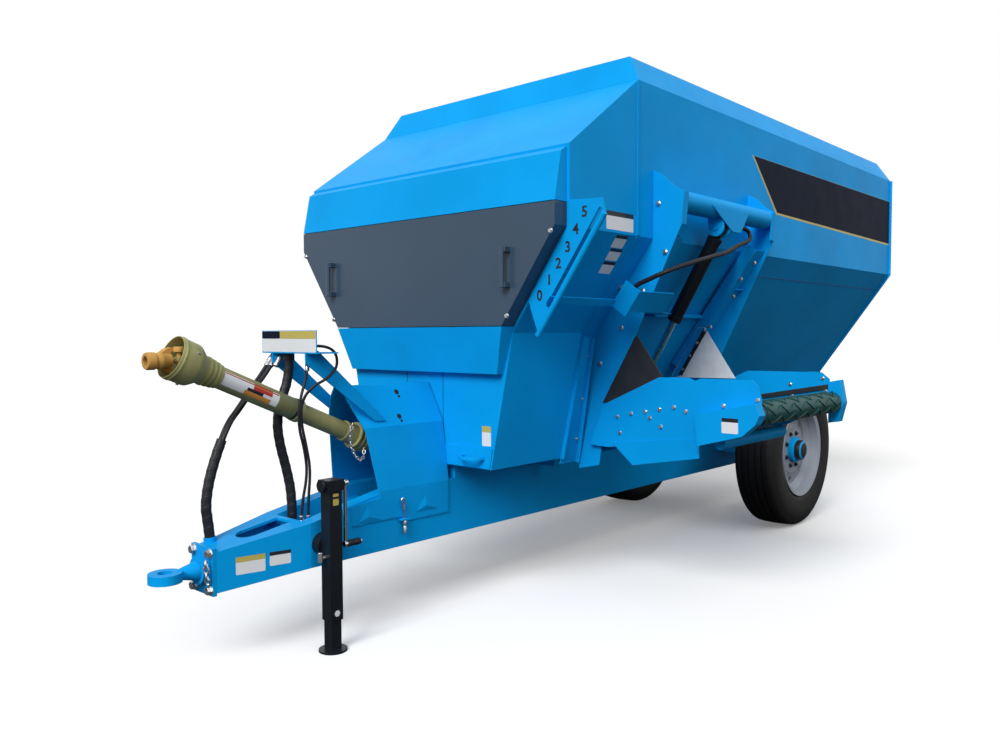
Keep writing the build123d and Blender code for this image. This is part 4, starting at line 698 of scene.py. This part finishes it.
# Digits of the gauge, upright on its plate
GAUGE_X = 521.6
DIGITS = [(727, 1450), (779, 1514), (828, 1581), (877, 1646), (918, 1716), (962, 1783)]
UPRIGHT = Matrix(((0, 0, 1), (1, 0, 0), (0, 1, 0))).to_4x4()
for digit, (y, z) in enumerate(DIGITS):
    data = bpy.data.curves.new(f"digit_{digit}", "FONT")
    data.body = str(digit)
    data.size = 0.062
    data.extrude = 0.0003
    data.offset = 0.0014
    data.align_x = "CENTER"
    data.align_y = "CENTER"
    data.resolution_u = 6
    data.materials.append(M["ink"])
    text = bpy.data.objects.new(f"digit_{digit}", data)
    text.matrix_world = Matrix.Translation(place(GAUGE_X, y, z)) @ UPRIGHT
    bpy.context.scene.collection.objects.link(text)
    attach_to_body(text, "wagon")

# Bolts
GUIDE_BOLTS = [(910, 1895), (947, 1668), (827, 1491), (705, 1318), (581, 1140), (466, 961)]
REAR_GUIDE_BOLTS = [(971, 1667), (894, 1584), (850, 1491), (713, 1325)]
SIDE_BOLTS = [(703, 886), (718, 809), (782, 906), (861, 920), (886, 892), (938, 935), (947, 854), (1015, 949),
              (1077, 933), (1264, 968), (1423, 1001)]
REAR_SIDE_BOLTS = [(1181, 1021), (1352, 1058), (1192, 962), (1366, 995), (1369, 926)]
PANEL_SCREWS = [(s * y, z) for s in (-1, 1) for y, z in ((846, 1710), (606, 1366))]
BEARING_YS, BEARING_Z, BEARING_CIRCLE = (-176, 176), 860, 66
BEARING_BOLTS = [(y + BEARING_CIRCLE * math.cos(a), BEARING_Z + BEARING_CIRCLE * math.sin(a))
                 for y in BEARING_YS for a in (0.785, 2.356, 3.927, 5.498)]
FRONT, REAR = (1, 0, 0), (-1, 0, 0)


def on_plane(x, spots):
    """Points at one x for bolts given as (y, z)."""
    return [(x, y, z) for y, z in spots]


screws("guide_bolts", [(on_plane(-130.8, GUIDE_BOLTS), FRONT, 22),
                       (on_plane(-1004.8, REAR_GUIDE_BOLTS), FRONT, 20)])
screws("belt_bolts", [(on_plane(-103.8, SIDE_BOLTS), FRONT, 17),
                      (on_plane(-1003.8, REAR_SIDE_BOLTS), FRONT, 17)])
screws("hitch_bolts", [(on_plane(1693.2, [(y, z) for y in (-60, 60) for z in (311, 453)]), FRONT, 34)])
screws("panel_screws", [(on_plane(595.2, PANEL_SCREWS), FRONT, 18)])
screws("bearing_bolts", [(on_plane(-3544.6, BEARING_BOLTS), REAR, 20)])
FACET_BOLTS = [(-90, 965), (-96, 760), (-76, 1180)]
screws("facet_bolts", [([facet(x, z, 6) for x, z in FACET_BOLTS], (0, 0.978, -0.208), 15)])

# White flap's clamping strip and the sheet beside it
plate("flap_strip", on_plane(-1000.6, [(676, 1318), (697, 1306), (540, 1046), (521, 1056)]),
      3, "rubber", soft=0.6)
plate("flap_backing", on_plane(-1000.8, [(473, 1037), (524, 1042), (678, 1321), (641, 1321)]), 2, "blue")
screws("flap_bolts", [(on_plane(-997.4, [(683, 1306), (637, 1236), (592, 1162), (545, 1085)]), FRONT, 13)])

# Chevron ribs of the belt, which rises from its inner roller to the outer one
INNER_ROLLER, OUTER_ROLLER = (640, 800), (1400, 938)
ROLLER_RADIUS = 53
ACROSS, RISE = (b - a for a, b in zip(INNER_ROLLER, OUTER_ROLLER))
LEAN = math.atan2(RISE, ACROSS)
RUN = math.hypot(ACROSS, RISE)
LANES, LANE, FIRST_LANE_X = 6, 141, -991
RIB_START, RIB_END, RIB_PITCH = 330.0, RUN + 150, 46
RIB_REACH, RIB_GAP = 34, 8     # how far a chevron points along the belt, and its gap to the lane's edge
RIB_SECTION = [(-7, -1), (-4, 4.5), (4, 4.5), (7, -1)]     # along the belt and off it


def belt_point(s, x, height):
    """Point at a height off the belt, s along it from the inner roller over the top and round the end."""
    radius = ROLLER_RADIUS + height
    if s < RUN:
        y, z = INNER_ROLLER[0] + s * math.cos(LEAN), INNER_ROLLER[1] + s * math.sin(LEAN)
        turn = LEAN + math.pi / 2
    else:
        y, z = OUTER_ROLLER
        turn = LEAN + math.pi / 2 - (s - RUN) / ROLLER_RADIUS
    return (x, y + radius * math.cos(turn), z + radius * math.sin(turn))


def rib(bm, x_from, x_to, s_from, s_to):
    """Half of a chevron, bent round the roller where the belt is."""
    rows = []
    for i in range(5):
        t = i / 4
        middle, across = s_from + (s_to - s_from) * t, x_from + (x_to - x_from) * t
        rows.append([bm.verts.new(belt_point(middle + shift, across, height))
                     for shift, height in RIB_SECTION])
    skin(bm, rows)
    bm.faces.new(rows[0])
    bm.faces.new(rows[-1][::-1])


bm = bmesh.new()
s = RIB_START
while s < RIB_END:
    for number in range(LANES):
        x = FIRST_LANE_X + number * LANE
        rib(bm, x + RIB_GAP, x + LANE / 2, s, s + RIB_REACH)
        rib(bm, x + LANE / 2, x + LANE - RIB_GAP, s + RIB_REACH, s)
    s += RIB_PITCH
finish_piece("belt_chevrons", bm, "belt")

# Wheels
AXLE_X, AXLE_Z = -2236, 505
TREAD_Y, HUB_Y, NUT_Y = 620, 712, 666.2     # middle of the tread, hub's end and face of the rim
SIDEWALL = [(-108, 287), (-117, 300), (-124, 318), (-128, 322), (-131, 340), (-135, 368), (-137.6, 398),
            (-136, 428), (-131, 455), (-129, 458), (-124, 474), (-117, 487), (-106, 496), (-96, 500.5),
            (-94, 500.5)]
TREAD = []
for groove in (-66, -24, 24, 66):
    crown = 504.6 - (groove / 100) ** 2 * 4
    TREAD += [(groove - 6, crown), (groove - 4, crown - 11), (groove + 4, crown - 11), (groove + 6, crown)]
TYRE = SIDEWALL + TREAD + [(-width, radius) for width, radius in reversed(SIDEWALL)]
HUB_CAP = [(0, 61), (4, 66), (30, 66), (36, 63), (40, 54), (44, 50), (45.5, 44)]
NUTS, NUT_CIRCLE = 8, 114
VALVE = [(672, 236), (690, 232), (706, 226)]
for side, name in ((1, "left"), (-1, "right")):
    body = f"wheel_{name}"
    out = (0, side, 0)
    bm = bmesh.new()
    lathe(bm, (AXLE_X, side * TREAD_Y, AXLE_Z), (0, 1, 0), TYRE, 112)
    caps = [f for f in bm.faces if len(f.verts) > 4]
    bmesh.ops.delete(bm, geom=caps, context="FACES")
    piece = finish_piece(f"tyre_tread_{name}", bm, "tyre", body, True)
    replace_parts(piece, f"tyre_{name}")
    turned(f"hub_cap_{name}", (AXLE_X, side * HUB_Y, AXLE_Z), out, HUB_CAP, "plastic", body, 40)
    bm = bmesh.new()
    for i in range(NUTS):
        angle = math.tau * (i + 0.5) / NUTS
        at = (AXLE_X + NUT_CIRCLE * math.cos(angle), side * NUT_Y, AXLE_Z + NUT_CIRCLE * math.sin(angle))
        screw(bm, at, out, 36)
        lathe(bm, (at[0], at[1] + side * 16, at[2]), out, [(0, 9), (12, 9), (14, 7)], 12)
    finish_piece(f"wheel_nuts_{name}", bm, "plastic", body)
    wire(f"valve_{name}", [(AXLE_X, side * y, AXLE_Z + z) for y, z in VALVE], 5, "plastic", body)

# Drive shaft: its line rises forwards from the rear joint
SHAFT_RISE = math.radians(23.5)
ALONG = Vector((math.cos(SHAFT_RISE), 0, math.sin(SHAFT_RISE)))
PIVOT = Vector((800, 0, 772))
BACK = Vector((-ALONG.z, 0, ALONG.x))


def outward(angle):
    """Direction away from the shaft's line, turned from the left side up to its back."""
    return Vector((0, 1, 0)) * math.cos(angle) + BACK * math.sin(angle)


def ring(name, station, profile, look, body):
    """Turned ring about the drive shaft at a distance from its rear joint."""
    return turned(name, PIVOT + ALONG * station, ALONG, profile, look, body, 40)


ring("tube_collar", 480, [(0, 46), (3, 49.5), (24, 49.5), (27, 46)], "olive", "shaft_front")
for number, station in enumerate((112, 136, 160)):
    ring(f"collar_rib_{number}", station, [(0, 52), (1, 61), (8, 61), (9, 52)], "olive", "shaft_rear")
SCREW_STATION, SCREW_LIFT = 1030, 84.2
screws("drum_screws", [([PIVOT + ALONG * SCREW_STATION + outward(angle) * SCREW_LIFT], outward(angle), 11)
                       for angle in (0.5, 2.6, 4.7)], "steel", "shaft_front")
ring("shaft_strap", 508, [(0, 45.4), (1, 47), (11, 47), (12, 45.4)], "rubber", "shaft_front")
LABEL_LIFT, BAND_LIFT = 45.7, 46.0     # from the shaft's line
for name, start, end, low, high, look in (
    ("tube_label", 618, 884, -38, 34, "white"), ("tube_label_line", 622, 880, 24, 30, "red"),
    ("tube_label_red", 654, 746, 2, 34, "red"), ("tube_label_hatch", 656, 744, 20, 30, "orange"),
    ("tube_label_brown", 654, 780, -38, -14, "orange"), ("tube_label_dark", 696, 772, -14, 2, "ink"),
    ("tube_label_end", 620, 652, -34, 0, "sheet"),
):
    lift = LABEL_LIFT if name == "tube_label" else BAND_LIFT
    bm = bmesh.new()
    rows = []
    for i in range(9):
        out = outward(math.radians(low + (high - low) * i / 8))
        rows.append([bm.verts.new(PIVOT + ALONG * at + out * lift) for at in (start, end)])
    skin(bm, rows)
    finish_piece(name, bm, look, "shaft_front", True)

# Front half of the shaft's guard with its bellows and drum, and the fork inside, in place of the plain one
JOINT_STATION = 1055
JOINT = PIVOT + ALONG * JOINT_STATION
TUBE = [(480, 39.3), (480, 43.5), (482, 45), (886, 45), (888, 49), (900, 49)]
BELLOWS = [(904, 53), (911, 53), (914, 48), (921, 49), (925, 56), (932, 56), (935, 51), (942, 52), (946, 59),
           (953, 59), (956, 54)]
DRUM = [(962, 55), (976, 62), (998, 78), (1006, 82.5), (1014, 84), (1088, 85), (1092, 84), (1092, 81),
        (1012, 79.5), (976, 57), (945, 30), (945, 24), (985, 24), (985, 34), (1001, 34), (1003, 30),
        (1003, 5), (840, 5), (840, 39.3)]
EAR = [(-54, -15), (-16, -16), (-4, -16), (8, -14), (15, -6), (16, 0), (15, 6), (8, 14), (-4, 16), (-16, 16),
       (-54, 15)]
bm = bmesh.new()
lathe(bm, PIVOT, ALONG, TUBE + BELLOWS + DRUM, 64, True)
EAR_FACE, EAR_THICK = 22, 12
for side in (-1, 1):
    outline = [JOINT + ALONG * a + BACK * b + Vector((0, side * EAR_FACE, 0)) for a, b in EAR]
    slab(bm, outline, -side * EAR_THICK, 1.5)
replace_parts(finish_piece("shaft_front_guard", bm, "olive", "shaft_front", True), "pto_front_half")
LIP = [(0, 83), (0, 84.6), (2, 87), (9, 87), (11, 84.6), (11, 83)]
LIP_STATION = 1070
turned("drum_lip", PIVOT + ALONG * LIP_STATION, ALONG, LIP, "olive", "shaft_front", 64, True)

# Cast yoke with its two arms, and the cross that it turns on
YOKE = [(0, 22), (3, 26), (30, 27), (36, 31), (52, 31.5), (56, 29), (62, 29), (66, 33), (92, 33), (98, 30),
        (98, 18), (60, 17)]
ARM = [(66, 10), (66, 26), (40, 44), (22, 49), (0, 49), (-18, 45), (-18, 34), (0, 33), (18, 32), (38, 12)]
BEARING = [(0, 21), (16, 21), (20, 18), (20, 13), (17, 13)]
YOKE_START, ARM_HALF, BEARING_START, CROSS_HALF = 34, 19, 32, 34
bm = bmesh.new()
lathe(bm, JOINT + Vector((YOKE_START, 0, 0)), (1, 0, 0), YOKE, 36)
for side in (-1, 1):
    slab(bm, [JOINT + Vector((x, -ARM_HALF, side * z)) for x, z in ARM], -side * 2 * ARM_HALF, 4)
    lathe(bm, JOINT + Vector((0, 0, side * BEARING_START)), (0, 0, side), BEARING, 28)
bar(bm, JOINT - Vector((0, 0, CROSS_HALF)), JOINT + Vector((0, 0, CROSS_HALF)), 10)
bar(bm, JOINT - Vector((0, CROSS_HALF, 0)), JOINT + Vector((0, CROSS_HALF, 0)), 9)
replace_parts(finish_piece("yoke_casting", bm, "ochre", "shaft_yoke", True), "pto_yoke")

# Chains
LINK_STEPS = 14             # stations round each link
LINK_PITCH = 1.35           # along the chain, and half a link's length and width, all in link sizes
LINK_LONG, LINK_WIDE = 0.95, 0.6


def links(name, points, size, thick):
    """Chain of oval links along points, each turned a quarter from the one before."""
    bm = bmesh.new()
    line = [Vector(p) for p in points]
    total = sum((b - a).length for a, b in zip(line, line[1:]))
    count = int(total / (size * LINK_PITCH))
    for number in range(count):
        distance = (number + 0.5) * total / count
        for a, b in zip(line, line[1:]):
            if distance <= (b - a).length:
                break
            distance -= (b - a).length
        along = (b - a).normalized()
        centre = a + along * distance
        side = along.orthogonal().normalized()
        if number % 2:
            side = along.cross(side)
        flat = along.cross(side)
        rows = []
        for i in range(LINK_STEPS):
            angle = math.tau * i / LINK_STEPS
            middle = (centre + along * (size * LINK_LONG * math.cos(angle))
                      + side * (size * LINK_WIDE * math.sin(angle)))
            out = (along * math.cos(angle) + side * math.sin(angle)).normalized()
            rows.append([bm.verts.new(middle + (out * math.cos(t) + flat * math.sin(t)) * thick)
                         for t in SIXTHS])
        skin(bm, rows, True, True)
    return finish_piece(name, bm, "zinc", smooth=True)


links("guard_chain", [(1040, 108, 905), (1052, 104, 860), (1046, 100, 806), (1020, 98, 758), (990, 96, 735),
                      (968, 92, 752), (960, 84, 790)], 10, 2.4)
links("hitch_chain", [(1712, 66, 430), (1716, 72, 396), (1714, 74, 362), (1706, 66, 340)], 15, 4.5)

# Guard's pin with its clip, and the jack's grip
PIN_WIRE = [(812, 500), (812, 548), (822, 560), (832, 548), (826, 530), (816, 500), (814, 470), (814, 430),
            (818, 400)]
wire("guard_pin", [(812, 176, 462)] + [(x, 182, z) for x, z in PIN_WIRE], 3.6, "chrome")
ferrule("guard_pin_stop", (812, 182, 396), UPWARDS, 6, 60)
ferrule("jack_grip", (1181, 236, 426), BACKWARDS, 11, 70, "plastic")

# Pale floor and soft studio light
FLOOR_SEEN, FLOOR_BOUNCED, FLOOR_GLOW = 0.9, 0.08, 0.16
WORLD_LIGHT, WORLD_SEEN = 0.38, 1.0
WHITE = (1, 1, 1, 1)


def grey(level):
    return (level, level, level, 1)


def add_floor():
    """Pale floor, which sends less light back to the wagon than the camera sees on it."""
    bpy.ops.mesh.primitive_plane_add(size=160, location=(0, 0, -0.001))
    floor = bpy.context.object
    floor.name = "floor"
    n = Nodes("floor_paint")
    n.set(Roughness=0.9, Specular_IOR_Level=0.1, Emission_Color=WHITE)
    path = n.add("ShaderNodeLightPath")
    mix = n.add("ShaderNodeMix", data_type="RGBA")
    mix.inputs[6].default_value = grey(FLOOR_BOUNCED)
    mix.inputs[7].default_value = grey(FLOOR_SEEN)
    n.link(path.outputs["Is Camera Ray"], mix.inputs[0])
    n.link(mix.outputs[2], n.shader.inputs["Base Color"])
    glow = n.add("ShaderNodeMath", operation="MULTIPLY")
    glow.inputs[1].default_value = FLOOR_GLOW
    n.link(path.outputs["Is Camera Ray"], glow.inputs[0])
    n.link(glow.outputs[0], n.shader.inputs["Emission Strength"])
    floor.data.materials.append(n.material)


def add_world():
    """White surroundings, weaker as light than as the camera and the gloss see them."""
    world = bpy.data.worlds.new("studio")
    bpy.context.scene.world = world
    world.use_nodes = True
    tree = world.node_tree
    back = tree.nodes["Background"]
    path = tree.nodes.new("ShaderNodeLightPath")
    seen = tree.nodes.new("ShaderNodeMath")
    seen.operation = "MAXIMUM"
    tree.links.new(path.outputs["Is Camera Ray"], seen.inputs[0])
    tree.links.new(path.outputs["Is Glossy Ray"], seen.inputs[1])
    strength = tree.nodes.new("ShaderNodeMapRange")
    strength.inputs["To Min"].default_value = WORLD_LIGHT
    strength.inputs["To Max"].default_value = WORLD_SEEN
    tree.links.new(seen.outputs[0], strength.inputs["Value"])
    tree.links.new(strength.outputs["Result"], back.inputs["Strength"])
    back.inputs["Color"].default_value = WHITE


def add_lamp(name, azimuth, height, power, spread):
    """Soft sun from a direction given in degrees; spread is its size in the sky."""
    data = bpy.data.lights.new(name, "SUN")
    data.energy = power
    data.angle = math.radians(spread)
    lamp = bpy.data.objects.new(name, data)
    a, h = math.radians(azimuth), math.radians(height)
    towards = Vector((math.cos(a) * math.cos(h), math.sin(a) * math.cos(h), math.sin(h)))
    lamp.rotation_euler = towards.to_track_quat("Z", "Y").to_euler()
    bpy.context.scene.collection.objects.link(lamp)


add_floor()
add_world()
add_lamp("key", 16, 36, 2.7, 30)
add_lamp("fill", 78, 42, 0.8, 60)
bpy.context.scene.view_settings.view_transform = "Standard"
